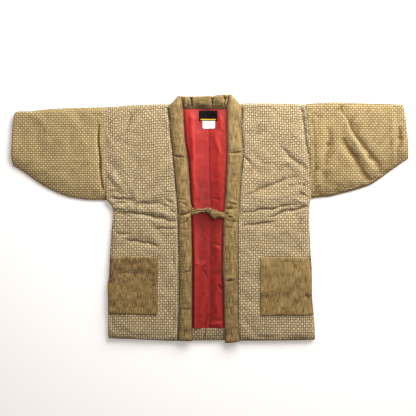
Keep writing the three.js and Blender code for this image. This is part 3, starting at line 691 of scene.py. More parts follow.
# %% Back panels
BACK_WIDTH, BACK_LENGTH, BACK_THICK = 335, 760, 9.0
CENTRE_X, SHOULDER_ROLL = -2.0, 15.0
NECK_FROM, NECK_TO = -137.0, 98.0


def back_top(x):
    at_neck = (x > NECK_FROM) & (x < NECK_TO)
    return np.where(at_neck, neckline(x) - 0.2, shoulder(x) - SHOULDER_ROLL)


def back_panel(name, left, right, centre_is_left):
    place = patch(left, right, shifted(hem, 0.5), back_top)
    u, v = np.meshgrid(fractions(BACK_WIDTH, 8.0), fractions(BACK_LENGTH, 8.0))
    x, y = place(u, v)
    from_left, from_right, from_hem, from_top = edge_distances(place, u, v)
    to_seam, to_side = (from_left, from_right) if centre_is_left else (from_right, from_left)
    full = edge(to_side, 8, 0.6) * edge(from_hem, 8, 0.55) * edge(from_top, 6, 0.8)
    seam = 2.6 * np.exp(-(to_seam / 5) ** 2)
    upper = stacked(x, y, BACK_THICK * full)
    bx, by = place(inset(u, BACK_WIDTH, 3.5), inset(v, BACK_LENGTH, 3.5))
    rise = 2.4 * (1 - round_off(np.minimum(to_side, from_hem), 10))
    lower = stacked(np.where(to_seam < 3.5, x, bx), by, np.minimum(seam + rise, BACK_THICK * full - 1))
    return between(name, upper, lower, BODY_CLOTH, seen_flat(x, y))


right_back = dress(back_panel("right_back_cloth", right_side, level(CENTRE_X - 0.15), centre_is_left=False),
                   ["right_back"])
left_back = dress(back_panel("left_back_cloth", level(CENTRE_X + 0.15), left_side, centre_is_left=True),
                  ["left_back"])

# %% [markdown]
# ## Puckers from a cloth simulation
# Wadding swells between its seams, and the spare cloth there gathers into puckers. They could be drawn as
# folds, but a short Cloth simulation finds them better: a sheet pinned all round its seams, a few
# hundredths too long, swells under pressure with gravity off for twenty frames. Its broad dome is taken
# away, because the panel has its own, and the puckers are capped and laid over the panel.

# %% Swelling sheet
FRAMES, PRESSURE = 20, 0.4


def swollen_sheet(flat, spare):
    """Heights of a pinned sheet after it has swelled. The simulation object is taken away again."""
    rows, columns = flat.shape[:2]
    mesh = bpy.data.meshes.new("swelling")
    mesh.from_pydata((flat.reshape(-1, 3) * MM).tolist(), [], sheet_faces(rows, columns).tolist())
    sheet = bpy.data.objects.new("swelling", mesh)
    bpy.context.scene.collection.objects.link(sheet)
    sheet.vertex_groups.new(name="seams").add(rim_of(rows, columns).tolist(), 1.0, "REPLACE")
    cloth = sheet.modifiers.new("swelling", "CLOTH")
    cloth.point_cache.frame_start, cloth.point_cache.frame_end = 1, FRAMES
    cloth.collision_settings.use_collision = False
    settings = cloth.settings
    settings.vertex_group_mass = "seams"
    settings.shrink_min = settings.shrink_max = -spare
    settings.use_pressure, settings.uniform_pressure_force = True, PRESSURE
    settings.effector_weights.gravity = 0
    settings.mass, settings.air_damping, settings.bending_stiffness = 0.3, 2.0, 0.4
    for frame_number in range(1, FRAMES + 1):
        bpy.context.scene.frame_set(frame_number)
    result = sheet.evaluated_get(bpy.context.evaluated_depsgraph_get())
    points = np.empty(rows * columns * 3)
    result.data.vertices.foreach_get("co", points)
    bpy.context.scene.frame_set(1)
    bpy.data.objects.remove(sheet)
    bpy.data.meshes.remove(mesh)
    return points.reshape(rows, columns, 3)[..., 2] / MM


def puckers(place, width, length, pitch, spare, cap):
    """Height of the puckers as a function of the place on a panel, at most the cap either way."""
    rows, columns = round(length / pitch) + 1, round(width / pitch) + 1
    u, v = np.meshgrid(np.linspace(0, 1, columns), np.linspace(0, 1, rows))
    height = swollen_sheet(stacked(*place(u, v), 0.0), spare)
    height = cap * stands_out(height, pitch, reach=20, full=8.0)
    print("puckers from", round(float(height.min()), 1), "to", round(float(height.max()), 1), "mm")

    def over(u, v):
        across, up = np.clip(u, 0, 1) * (columns - 1), np.clip(v, 0, 1) * (rows - 1)
        i, j = np.clip(across.astype(int), 0, columns - 2), np.clip(up.astype(int), 0, rows - 2)
        s, t = across - i, up - j
        s, t = s * s * (3 - 2 * s), t * t * (3 - 2 * t)
        low = height[j, i] * (1 - s) + height[j, i + 1] * s
        return low * (1 - t) + (height[j + 1, i] * (1 - s) + height[j + 1, i + 1] * s) * t

    return over


# %% [markdown]
# ## The two front panels
# A front is the same length of cloth as its back, folded over at the shoulder. It is a padded layer that
# lies on the back: full in the middle, drawn in at its seams, and creased where the tie pulls across the
# waist. Its folds are laid from the photograph. Broad ones have a sharp line along their bottom,
# as a crease in wadding does.

# %% Folds of the fronts
RIGHT_FRONT_FOLDS = [
    (-252, 352, -282, 262, -2, 12, -1.4), (-252, 350, -282, 262, -2, 3.2, -0.8),
    (-318, 47, -114, 37, -8, 10, -1.6, 3, -1.8), (-300, 32, -120, 12, -4, 9, 1.4),
    (-316, 66, -250, 60, 3, 3, -1.8), (-320, 30, -262, 34, 2, 3, -1.8),
    (-300, 22, -104, -11, -4, 11, -2.2, 3, -2.6), (-250, 3, -120, -16, -3, 8, 1.4),
    (-305, -44, -255, -50, 0, 8, -1.2, 2.8, -1.6), (-290, -67, -160, -94, -6, 10, -1.4, 2.8, -2.4),
    (-182, -31, -104, -31, 0, 7, -1.4, 2.6, -1.6), (-322, 140, -255, 112, 10, 24, 2.4),
    (-332, 96, -280, 74, 0, 5, -2), (-310, 160, -300, 110, 3, 12, 2), (-330, 70, -262, 60, 0, 4, -1.6),
    (-326, 30, -276, 26, 4, 4, -1.8), (-290, 16, -250, 4, 2, 3, -1.8), (-150, 66, -112, 46, 0, 5, -2),
    (-130, 30, -104, 16, 0, 4, -1.8), (-160, 96, -116, 84, 2, 4, -1.2),
    (-331, -201, -165, -202, 0, 14, -0.8),
]
LEFT_FRONT_FOLDS = [
    (220, 242, 322, 154, 3, 12, -2.2, 3, -1.5), (225, 222, 310, 142, 3, 12, 1.6),
    (150, 300, 172, 268, 3, 16, -2), (104, 205, 134, 178, 0, 7, -1.8, 2.6, -1.8),
    (112, 76, 286, 140, -4, 10, -1.8, 3, -1.1), (96, 21, 296, 50, 4, 10, -2, 3, -2.4),
    (186, 5, 326, 41, -3, 9, -1.8, 2.8, -2.4), (96, -24, 214, -8, 2, 8, -1.8, 2.8, -2),
    (110, 60, 290, 92, 4, 16, 1.6), (294, 369, 325, 130, -5, 8, -2.2, 3, -3),
    (286, 88, 326, 62, 0, 5, -2.2), (270, 70, 322, 46, 0, 5, 1.6), (250, 110, 320, 112, 3, 4, -1.4),
    (309, -245, 322, -262, 0, 7, -2),
]
print("folds:", len(RIGHT_FRONT_FOLDS), "and", len(LEFT_FRONT_FOLDS))

# %% Front panels
FRONT_WIDTH, FRONT_LENGTH = 225, 764
FRONT_FLOOR, FRONT_THICK, ROLL_RADIUS = 9.3, 9.5, 9.2
ROLL_MIDDLE = FRONT_FLOOR + 0.3
WAIST_Y, WAIST_REACH = 30.0, 62.0
UNDERARM_Y = 62.0


def front_surface(place, gap, folds, side_is_left, seed):
    """Upper surface of a front at any place on it, so that the pocket can be laid on it too. It swells
    slowly from the side seam below the armhole, and the shoulder rolls under at its top."""
    crease = relief(folds, depth=1.5)
    gathered = puckers(place, FRONT_WIDTH, FRONT_LENGTH, pitch=7.5, spare=0.035, cap=3.2)

    def surface(u, v):
        x, y = place(u, v)
        from_left, from_right, from_hem, from_top = edge_distances(place, u, v)
        to_side, to_band = (from_left, from_right) if side_is_left else (from_right, from_left)
        at_armhole = np.clip((y - UNDERARM_Y + 14) / 28, 0, 1)
        side = edge(to_side, 30, 0.28) * (1 - at_armhole) + edge(to_side, 7, 0.9) * at_armhole
        tight = np.clip((gap(y) - 0.6) / 1.8, 0, 1)
        full = side * edge(to_band, 9, 0.52 - 0.4 * tight) * edge(from_hem, 30, 0.14, 0.75)
        uneven = rumples(x, y, seed, (1.7, 90), (1.1, 38), (0.4, 15))
        gathers = 1.3 * rumple(x * 0, y, 11, seed + 3) * np.exp(-np.minimum(to_side, to_band * 1.6) / 9)
        waist = np.exp(-((y - WAIST_Y) / WAIST_REACH) ** 2) * (0.25 + 0.75 * np.exp(-to_side / 60))
        crinkle = rumple(x / 4, y, 7, seed + 4) + 0.6 * rumple(x / 2.5, y + 0.2 * x, 5, seed + 5)
        calm = np.clip(np.minimum(to_side, np.minimum(to_band, from_hem)) / 8, 0, 1)
        height = FRONT_THICK * full + (crease(x, y) + uneven) * (0.35 + 0.65 * calm)
        height = height + (gathers + 1.5 * waist * crinkle) * calm
        height = height + gathered(u, v) * np.clip(calm * 2, 0, 1)
        height = np.maximum(height, 2 - 1.5 * tight * np.clip(1 - to_band / 5, 0, 1))
        return x, y, ROLL_MIDDLE + (FRONT_FLOOR + height - ROLL_MIDDLE) * edge(from_top, ROLL_RADIUS, 0)

    return surface


def front_panel(name, place, surface):
    rolled = (0, 0.4, 1.2, 2.4, 4.2, 6.5, 9.2, 12, 15)
    u, v = np.meshgrid(fractions(FRONT_WIDTH, 2.6), fractions(FRONT_LENGTH, 2.6, rolled))
    from_hem, from_top = edge_distances(place, u, v)[2:]
    upper = stacked(*surface(u, v))
    bx, by = place(inset(u, FRONT_WIDTH, 2), inset(v, FRONT_LENGTH, 0.4))
    under_roll = ROLL_MIDDLE - (FRONT_FLOOR - 0.1) * round_off(from_top, ROLL_RADIUS)
    climb = np.clip((from_top - ROLL_RADIUS) / 5, 0, 1)
    lower = stacked(bx, by, under_roll * (1 - climb) + FRONT_FLOOR * climb)
    # Painted shade along the hem and along the top of the shoulder roll.
    tone = -0.4 * np.exp(-from_hem / 30) - 0.6 * np.exp(-from_top / 5)
    return between(name, upper, lower, BODY_CLOTH, tone=tone)


right_gap = curve("y gap", [(400, 0.6), (366, 0.6), (352, 3.0), (335, 2.4), (310, 0.8), (-400, 0.6)])
left_gap = curve("y gap", [
    (400, 0.6), (366, 0.6), (350, 2.4), (250, 2.6), (100, 1.0), (60, 0.6), (-400, 0.6),
])
right_place = patch(right_side, lambda y: right_outer(y) - right_gap(y), hem, shoulder)
left_place = patch(lambda y: left_outer(y) + left_gap(y), left_side, hem, shoulder)
right_surface = front_surface(right_place, right_gap, RIGHT_FRONT_FOLDS, side_is_left=True, seed=11)
left_surface = front_surface(left_place, left_gap, LEFT_FRONT_FOLDS, side_is_left=False, seed=21)
right_front = dress(front_panel("right_front_cloth", right_place, right_surface),
                    ["right_front"])
left_front = dress(front_panel("left_front_cloth", left_place, left_surface),
                   ["left_front"])

# %% [markdown]
# ## The sleeves
# A sleeve is one cloth folded along its upper edge and sewn along the lower, so it is a flat tube that is
# open at the cuff. The cloth is turned, so its floats run along the arm. The padding falls away in a wide
# curve towards the lower seam, and painted shade on that edge and along the upper fold darkens it
# further, so that edge is the darkest part of the sleeve. A narrow hollow with the red lining runs from
# the armhole to the cuff. It stays below the deepest trough above it.

# %% Sleeve outlines and folds
right_sleeve_top = curve("x y", [
    (-644, 345), (-617, 348.5), (-585, 348.5), (-552, 353), (-520, 356), (-422, 360.4), (-335, 362.5),
])
right_sleeve_bottom = curve("x y", [
    (-642, 172), (-617, 157.5), (-585, 135), (-552, 112), (-520, 94), (-487, 79.6), (-455, 69),
    (-422, 63.4), (-390, 60), (-330, 59),
])
right_cuff = curve("y x", [
    (347, -633), (333, -637), (304, -641), (255, -643.5), (206, -646.7), (172, -642),
])
left_sleeve_top = curve("x y", [
    (308, 370.5), (325, 373.7), (357, 376), (413, 378), (439, 376), (552, 373.4), (636, 370),
])
left_sleeve_bottom = curve("x y", [
    (327, 65), (357, 69), (390, 72), (422, 80), (455, 88), (497, 100.7), (520, 109), (552, 128.4),
    (585, 152.7), (617, 175.5), (646, 195),
])
left_cuff = curve("y x", [
    (370, 629), (343, 633), (304, 638.6), (255, 643.5), (210, 646), (195, 646.7),
])
RIGHT_SLEEVE_FOLDS = [
    (-362, 318, -348, 90, 5, 8, -2), (-362, 306, -346, 84, 4, 3.0, -4.5),
    (-400, 300, -380, 90, 5, 22, 1.6), (-560, 330, -540, 140, 5, 26, -1.5),
    (-470, 340, -440, 200, 6, 20, 1.2), (-610, 330, -600, 190, 3, 18, -1.2),
]
LEFT_SLEEVE_FOLDS = [
    (426, 356, 541, 148, 9, 12, 5), (420, 374, 556, 168, 12, 14, -4.6),
    (424, 366, 556, 168, 12, 4, -1.6), (436, 262, 524, 122, 6, 14, -4.6, 4, -1.4),
    (374, 350, 357, 105, 3, 16, 3), (392, 300, 386, 170, 0, 14, -2.6), (598, 348, 598, 176, 0, 8, 2),
    (617, 302, 619, 226, 0, 9, -2.5), (606, 262, 632, 256, 0, 7, -1.6),
    (370, 250, 386, 236, 0, 8, -1.8),
]
print("sleeve folds:", len(RIGHT_SLEEVE_FOLDS), "and", len(LEFT_SLEEVE_FOLDS))

# %% Sleeves
SLEEVE_THICK, SLEEVE_WALL, SLEEVE_SLIT = 19.0, 8.0, 2.6
SLEEVE_RUN, SLEEVE_DEEP, SLEEVE_RIM, SLEEVE_PITCH = 305.0, 285.0, 4.6, 2.8
SLEEVE_STATIONS, NEAR_STEPS = 29, (-0.036, -0.024, -0.012, 0, 0.012, 0.024, 0.036)


def sleeve_place(armhole, cuff, bottom, top):
    def place(u, w):
        x, y = armhole(np.full(np.broadcast(u, w).shape, 200.0)), 0
        for _ in range(10):
            y = bottom(x) + (top(x) - bottom(x)) * w
            x = armhole(y) + (cuff(y) - armhole(y)) * u
        return x, y

    return place


def sleeve(name, place, folds, tone, seed):
    """The painted shade is strongest at the fallen lower edge and on the line of the upper fold."""
    crease = relief(folds, depth=1.5)
    gathered = puckers(place, SLEEVE_RUN, SLEEVE_DEEP, pitch=8, spare=0.03, cap=2.6)
    along, across = fractions(SLEEVE_RUN, SLEEVE_PITCH), fractions(SLEEVE_DEEP, SLEEVE_PITCH)
    back = np.linspace(1, 0, 46)

    def upper(u, w):
        x, y = place(u, w)
        run = np.abs(place(np.ones_like(u), w)[0] - place(np.zeros_like(u), w)[0])
        deep = place(u, np.ones_like(w))[1] - place(u, np.zeros_like(w))[1]
        to_arm, to_cuff, to_bottom, to_top = u * run, (1 - u) * run, w * deep, (1 - w) * deep
        full = edge(to_bottom, 62, 0.24, 0.8) * edge(to_top, 16, 0.6)
        full = full * edge(to_arm, 7, 0.93) * edge(to_cuff, 8, 0.72)
        uneven = rumples(x, y, seed, (1.7, 80), (0.9, 34), (0.35, 14))
        gathers = 1.0 * rumple(x * 0, y, 12, seed + 3) * np.exp(-to_arm / 10)
        calm = np.clip(np.minimum(np.minimum(to_bottom, to_top), np.minimum(to_arm, to_cuff)) / 9, 0, 1)
        height = SLEEVE_THICK * full + (crease(x, y) + uneven) * (0.3 + 0.7 * calm) + gathers * calm
        return x, y, np.maximum(height + gathered(u, w) * calm, SLEEVE_RIM)

    def outside(u):
        top = np.stack(upper(np.full(across.shape, u), across), axis=1)
        x, y = place(np.full(back.shape, u), inset(back, SLEEVE_DEEP, 4.5))
        return np.concatenate([top, np.stack([x, y, 0 * x], axis=1)])

    def inside(u):
        """The hollow of the sleeve, which closes towards the lower seam and stays below every trough."""
        def lowest(w):
            near = [np.clip(u + step, 0, 1) for step in NEAR_STEPS]
            return np.min([upper(np.full(w.shape, place_along), w)[2] for place_along in near], axis=0)

        wide, narrow = inset(across, SLEEVE_DEEP, 9), inset(back, SLEEVE_DEEP, 9)
        x, y = place(np.full(across.shape, u), wide)
        bx, by = place(np.full(back.shape, u), narrow)
        roof = np.minimum(SLEEVE_WALL + SLEEVE_SLIT, lowest(wide) - 1.5)
        floor = np.minimum(SLEEVE_WALL, lowest(narrow) - 2.6)
        return np.concatenate([np.stack([x, y, roof], axis=1), np.stack([bx, by, floor], axis=1)])

    outer = np.array([outside(u) for u in along])
    inner = np.array([inside(u) for u in np.linspace(0, 1, SLEEVE_STATIONS)])
    around = outer.shape[1]
    count = outer.shape[0] * around

    def ring_faces(first, second):
        at = np.arange(around)
        after = (at + 1) % around
        return np.stack([first + at, first + after, second + after, second + at], axis=1)

    def tube_faces(first, rings):
        return [ring_faces(first + k * around, first + (k + 1) * around) for k in range(rings - 1)]

    lined_faces = tube_faces(count, SLEEVE_STATIONS)
    ends = [ring_faces(0, count), ring_faces(count - around, count + (SLEEVE_STATIONS - 1) * around)]
    faces = np.concatenate(tube_faces(0, len(outer)) + ends + lined_faces)
    points = np.concatenate([outer.reshape(-1, 3), inner.reshape(-1, 3)])
    to_bottom, to_top = across * SLEEVE_DEEP, (1 - across) * SLEEVE_DEEP
    # Painted shade, strongest along the lower edge and on the line of the upper fold.
    painted_shade_weight = np.exp(-to_bottom / 100) + 0.35 + 1.2 * np.exp(-to_top / 5)
    swell = np.zeros(len(points))
    seen = swell[:count].reshape(len(outer), around)[:, :len(across)]
    seen[:] = swell_of(outer[:, :len(across), 2], SLEEVE_PITCH) + tone * painted_shade_weight
    piece = make_piece(name, points, faces.tolist(), points[:, [1, 0]], SLEEVE_CLOTH, swell)
    piece.data.materials.append(RED_LINING)
    lined = np.zeros(len(piece.data.polygons), int)
    lined[-len(lined_faces) * around:] = 1
    piece.data.polygons.foreach_set("material_index", lined)
    return piece


right_sleeve_place = sleeve_place(
    shifted(right_side, -0.6), right_cuff, right_sleeve_bottom, right_sleeve_top)
left_sleeve_place = sleeve_place(
    shifted(left_side, 0.6), left_cuff, left_sleeve_bottom, left_sleeve_top)
# The left sleeve gets more painted shade than the right.
right_sleeve = dress(sleeve("right_sleeve_cloth", right_sleeve_place, RIGHT_SLEEVE_FOLDS,
                            tone=-0.1, seed=31), ["right_sleeve"])
left_sleeve = dress(sleeve("left_sleeve_cloth", left_sleeve_place, LEFT_SLEEVE_FOLDS,
                           tone=-0.42, seed=41), ["left_sleeve"])

# %% [markdown]
# ## The collar band
# One long padded strip runs down both front edges and behind the neck. It is rounder than the panels,
# because its wadding is rolled in. Below it is made in three pieces: two bands, and the part behind the
# neck, whose ends they cover. The tie gathers both bands into small sharp crumples.

# %% Folds of the collar
RIGHT_BAND_FOLDS = [
    (-122, 203, -80, 196, 0, 6, -2), (-124, 203, -78, 196, 0, 2.4, -2.4),
    (-100, 190, -78, 184, 0, 2.4, -1.6), (-96, 290, -82, 272, 0, 5, -2),
    (-100, 268, -84, 262, 0, 6, 1.6), (-128, 240, -112, 226, 0, 6, -1.4), (-60, 26, -106, 52, 5, 6, -2),
    (-62, 27, -106, 52, 5, 2.6, -1.2), (-104, 66, -76, 60, 2, 2.6, -1.8),
    (-64, 20, -104, 12, -2, 5, -2), (-62, 20, -98, 12, -2, 2.4, -2), (-74, 30, -66, 12, 2, 3, -3),
    (-60, 10, -102, -18, -4, 6, -1.8, 2.4, -1.2), (-86, 14, -70, 12, 0, 2.6, -2.2),
    (-90, 40, -64, 36, 0, 4, 2), (-88, 6, -66, 2, 0, 3, 2), (-96, 28, -74, 24, 0, 3, 1.8),
    (-80, 46, -62, 40, 0, 3, 1.6), (-104, -30, -62, -36, 0, 2.6, -1.4), (-100, -62, -64, -58, 0, 3, -1),
    (-94, -180, -60, -166, 0, 5, -1.2), (-92, -180, -60, -166, 0, 2.2, -2.4),
    (-92, -184, -76, -172, 0, 3, 1.6), (-102, -294, -58, -294, 0, 4, -1.4),
]
LEFT_BAND_FOLDS = [
    (56, 211, 108, 217, 0, 6, -2), (54, 211, 108, 217, 0, 2.4, -2.4), (60, 203, 106, 208, 0, 5, 1.4),
    (62, 218, 78, 222, 0, 3, -1.6), (50, 56, 98, 42, 0, 3, -2), (56, 60, 90, 50, 0, 5, 1.6),
    (48, 33, 74, 36, 0, 4, -3), (48, 30, 104, 36, 0, 3, -2), (72, 26, 98, 13, 0, 2.6, -2.4),
    (48, 18, 60, 15, 0, 3, -3), (58, 7, 76, 6, 0, 2.6, -2.4), (48, -2, 98, -12, 0, 5, -1.8),
    (56, 29, 100, 14, 0, 4, 2.4), (58, 14, 76, 12, 0, 3, 2), (78, 6, 90, 2, 0, 3, 2),
    (62, 54, 84, 50, 0, 3, 2), (56, 22, 70, 18, 0, 3, 1.6), (46, -26, 92, -30, 0, 2.6, -1.4),
    (44, -203, 80, -196, 0, 5, -1.4), (46, -203, 74, -198, 0, 2.4, -1.4),
    (46, -190, 84, -192, 0, 5, 1.8), (44, -130, 84, -134, 0, 3, -1), (50, 120, 98, 116, 0, 3, -1),
]
print("band folds:", len(RIGHT_BAND_FOLDS), "and", len(LEFT_BAND_FOLDS))

# %% Collar bands
BAND_WIDTH, BAND_FLOOR, BAND_THICK = 45, 11.2, 15.5


def band(name, place, folds, length, crest, top_painted_shading, seed):
    """The crest is where the roll is highest, as a share of its width from the left. The top painted
    shading is added above the chest, painted shade below zero and painted light above. The lower end gets a
    little painted shade."""
    crease = relief(folds, depth=1.15, wander=3.2)
    gathered = puckers(place, BAND_WIDTH, length, pitch=4.5, spare=0.03, cap=1.8)
    u, v = np.meshgrid(fractions(BAND_WIDTH, 1.8, (0, 0.5, 1.4, 2.8, 4.8)), fractions(length, 2.0))
    x, y = place(u, v)
    from_left, from_right, from_end, from_top = edge_distances(place, u, v)
    inward = np.minimum(from_left * 0.5 / crest, from_right * 0.5 / (1 - crest))
    flatter = 0.16 + 0.2 * np.clip((60 - y) / 100, 0, 1)
    full = edge(inward, 21, flatter, 0.6) * edge(from_end, 14, 0.4) * edge(from_top, 13, 0.4)
    middle = np.clip(np.minimum(from_left, from_right) / 9, 0, 1)
    uneven = rumples(x, y, seed, (0.9, 60), (0.6, 22), (0.3, 9))
    across = 0.5 * rumple(x * 0.3, y, 9, seed + 3)
    height = BAND_THICK * full + (crease(x, y) + uneven + across) * (0.3 + 0.7 * middle)
    height = height + gathered(u, v) * middle
    upper = stacked(x, y, BAND_FLOOR + np.maximum(height, 2))
    bx, by = place(inset(u, BAND_WIDTH, 2), inset(v, length, 2))
    # Painted shading above the chest, and painted shade towards the lower end.
    tone = top_painted_shading * np.clip((y - 120) / 120, 0, 1) - 0.35 * np.clip((-60 - y) / 150, 0, 1)
    return between(name, upper, stacked(bx, by, BAND_FLOOR + 0 * bx), PLAIN_CLOTH, rim_shade=0.3, tone=tone)


right_band_place = patch(right_outer, right_inner, right_band_end, level(398.4))
left_band_place = patch(left_inner, left_outer, left_band_end, level(404.4))
right_band = dress(band("right_collar_cloth", right_band_place, RIGHT_BAND_FOLDS, length=796,
                        crest=0.5, top_painted_shading=-0.2, seed=51), ["collar_right"])
left_band = dress(band("left_collar_cloth", left_band_place, LEFT_BAND_FOLDS, length=806,
                       crest=0.34, top_painted_shading=0.3, seed=61), ["collar_left"])

# %% [markdown]
# ## The collar behind the neck
# Here the strip stands up round the neck and folds over, so it buckles into three or four soft rolls with
# sharp lines between them. Its ends lie thin under the bands, and its lower edge stands over the lining.

# %% Collar behind the neck
NECK_THICK, NECK_HIDDEN = 17.5, 9.3
NECK_PROUD, NECK_TUCKED = 4.6, 3.0
NECK_LEFT, NECK_RIGHT, NECK_END = -133.0, 94.0, 0.25
THIN_RIM = (0, 0.5, 1.5, 3)
neck_bottom = curve("x y", [
    (-133, 367), (-96, 357), (-80, 355.5), (-60, 356), (-39, 357.6), (-12, 355.5), (16, 357.6), (34, 356.2),
    (60, 357.6), (94, 367),
])
neck_top = curve("x y", [
    (-133, 371.5), (-120, 380), (-110, 391), (-104, 396), (-92, 398), (-60, 397.5), (0, 399.5), (4, 400),
    (8, 396.5), (14, 400), (33, 402.5), (62, 404), (72, 397.5), (84, 386.5), (94, 375),
])
joints = table("y right left", [(402, -95, 64), (395, -94, 61.6), (355, -87, 54.6)])
joint_right, joint_left = through(joints, "y", "right"), through(joints, "y", "left")
NECK_FOLDS = [
    (-68, 408, -60, 384, 0, 2.4, -8), (-50, 408, -60, 384, 0, 2.4, -8),
    (-60, 392, -58, 352, 0, 2.6, -7), (-60, 404, -60, 390, 0, 2.6, 4), (7, 410, 8, 350, 0, 2.2, -10),
    (7, 410, 7, 376, 0, 6, -3), (40, 408, 50, 384, 0, 2.4, -6), (57, 406, 50, 384, 0, 2.2, -6),
    (49, 394, 46, 356, 0, 2.6, -5), (-86, 408, -84, 352, 0, 3.2, -6), (-30, 398, -34, 360, 0, 9, 1.4),
    (26, 402, 24, 362, 0, 8, 1.8),
]


def neck_place(u, v):
    """A quarter of u lies under each band, and the middle half is what shows between them."""
    y = np.full(np.broadcast(u, v).shape, 380.0)
    for _ in range(8):
        a, b = joint_right(y) + 1, joint_left(y) - 1
        x = np.where(u < NECK_END, NECK_LEFT + (a - NECK_LEFT) * u / NECK_END, np.where(
            u > 1 - NECK_END, b + (NECK_RIGHT - b) * (u - 1 + NECK_END) / NECK_END,
            a + (b - a) * (u - NECK_END) / (1 - 2 * NECK_END)))
        low = neck_bottom(x)
        y = low + (neck_top(x) - low) * v
    return x, y


def neck_collar(name):
    ends = np.linspace(0, NECK_END, 10)[:-1]
    shown = NECK_END + (1 - 2 * NECK_END) * fractions(152, 1.8, THIN_RIM)
    u = np.concatenate([ends, shown, 1 - ends[::-1]])
    u, v = np.meshgrid(u, fractions(40, 1.8, (0, 0.5, 1.4, 2.8)))
    x, y = neck_place(u, v)
    depth = neck_top(x) - neck_bottom(x)
    inward = np.minimum(x - joint_right(y) - 1, joint_left(y) - 1 - x)
    across = np.minimum(v, 1 - v) * depth
    crest = round_off(v, 1.0) * 0.9 + 0.1
    rounded = np.minimum(round_off(inward, 9), edge(across, 5, 0.2)) * crest
    at_lining = np.clip(np.abs(inward) / 6, 0, 1) * (1 - round_off(v * depth, 8))
    rim = NECK_HIDDEN - 3 * (1 - round_off((1 - v) * depth, 8))
    rim = rim + np.where(inward > 0, NECK_PROUD, -NECK_TUCKED) * at_lining
    uneven = rumples(x, y, 71, (0.8, 22), (0.5, 9))
    over = (NECK_THICK - NECK_HIDDEN + 2.5 + relief(NECK_FOLDS, wander=1.0)(x, y) + uneven) * rounded
    upper = stacked(x, y, rim + np.maximum(0, over))
    bx, by = neck_place(0.006 + 0.988 * u, 0.13 + 0.81 * v)
    # Painted shade over the collar, strongest at its lower edge and where it goes under the bands.
    tone = -0.25 - 0.95 * (1 - v) ** 1.7 - 0.8 * np.exp(-np.maximum(inward, 0) / 3)
    return between(name, upper, stacked(bx, by, 0 * bx), PLAIN_CLOTH, seen_flat(y, x), tone=tone)


neck = dress(neck_collar("neck_collar_cloth"), ["collar_neck"])

# %% [markdown]
# ## Pockets
# Each pocket is one square of plain cloth, sewn on three sides to the front. It is laid on the same
# surface function as the front, a little above it, so every fold carries through. The right one sags in a
# line across its middle, and the left one shows the turned hem of its mouth.

# %% Pockets
RIGHT_POCKET = {"top": -122, "bottom": -307, "inner": -171, "width": 160, "height": 185}
LEFT_POCKET = {"top": -122, "bottom": -308, "inner": 162, "width": 172, "height": 186}
HEM_Y, POCKET_LIFT, POCKET_THICK = -390.0, 0.4, 3.0


def pocket(name, size, surface, place, on_left, folds, tone, seed):
    """A square of cloth on the front's own surface, from the side seam to its inner edge. The painted
    shading is full above the middle and a quarter below it: painted shade below zero, painted light above."""
    low, high = [(size[edge_name] - HEM_Y) / FRONT_LENGTH for edge_name in ("bottom", "top")]
    ends = place(np.array([0.0, 1.0]), np.full(2, (low + high) / 2))[0]
    stop = (size["inner"] - ends[0]) / (ends[1] - ends[0])
    rim = (0, 0.4, 1.1, 2.2, 3.6)
    s, t = np.meshgrid(fractions(size["width"], 2.6, rim), fractions(size["height"], 2.6, rim))
    x, y, z = surface(s * stop if on_left else stop + s * (1 - stop), low + (high - low) * t)
    free = np.minimum(np.minimum(t, 1 - t) * size["height"], ((1 - s) if on_left else s) * size["width"])
    soft = rumples(x, y, seed, (0.6, 40), (0.4, 14)) + relief(folds)(x, y)
    full = POCKET_THICK * edge(free, 3.0, 0.35) + (soft + 0.8) * np.clip(free / 10, 0, 1)
    # Painted shading, full on the upper half and a quarter on the lower.
    return between(name, stacked(x, y, z + POCKET_LIFT + full), stacked(x, y, z + POCKET_LIFT),
                   POCKET_CLOTH, tone=tone * np.clip(t * 8 - 3.4, 0.25, 1))


RIGHT_POCKET_FOLDS = [
    (-345, -201, -160, -201, 0, 55, -4.5), (-331, -202, -171, -203, 0, 2.4, -0.9),
    (-324, -222, -284, -222, 0, 8, -1.4), (-300, -300, -190, -300, -14, 4, -0.6),
]
LEFT_POCKET_FOLDS = [
    (162, -140, 330, -140, 0, 2, -0.8), (309, -245, 322, -262, 0, 4, -0.8),
    (316, -130, 316, -300, 0, 6, 1.2),
]
# The right pocket gets painted shade, the left one painted light.
right_pocket = dress(pocket(
    "right_pocket_cloth", RIGHT_POCKET, right_surface, right_place, on_left=True,
    folds=RIGHT_POCKET_FOLDS, tone=-0.32, seed=81), ["right_pocket"])
left_pocket = dress(pocket(
    "left_pocket_cloth", LEFT_POCKET, left_surface, left_place, on_left=False,
    folds=LEFT_POCKET_FOLDS, tone=0.35, seed=91), ["left_pocket"])

# %% [markdown]
# ## The red lining
# Only the strip between the bands shows. It is two lengths of smooth cotton joined by a seam down the
# centre back. It hangs loose over the wadding, so it lies in long soft folds. The bands and the neck collar
# shade it, and painted shade darkens its sides, its upper end and the stretch below the tie as well.

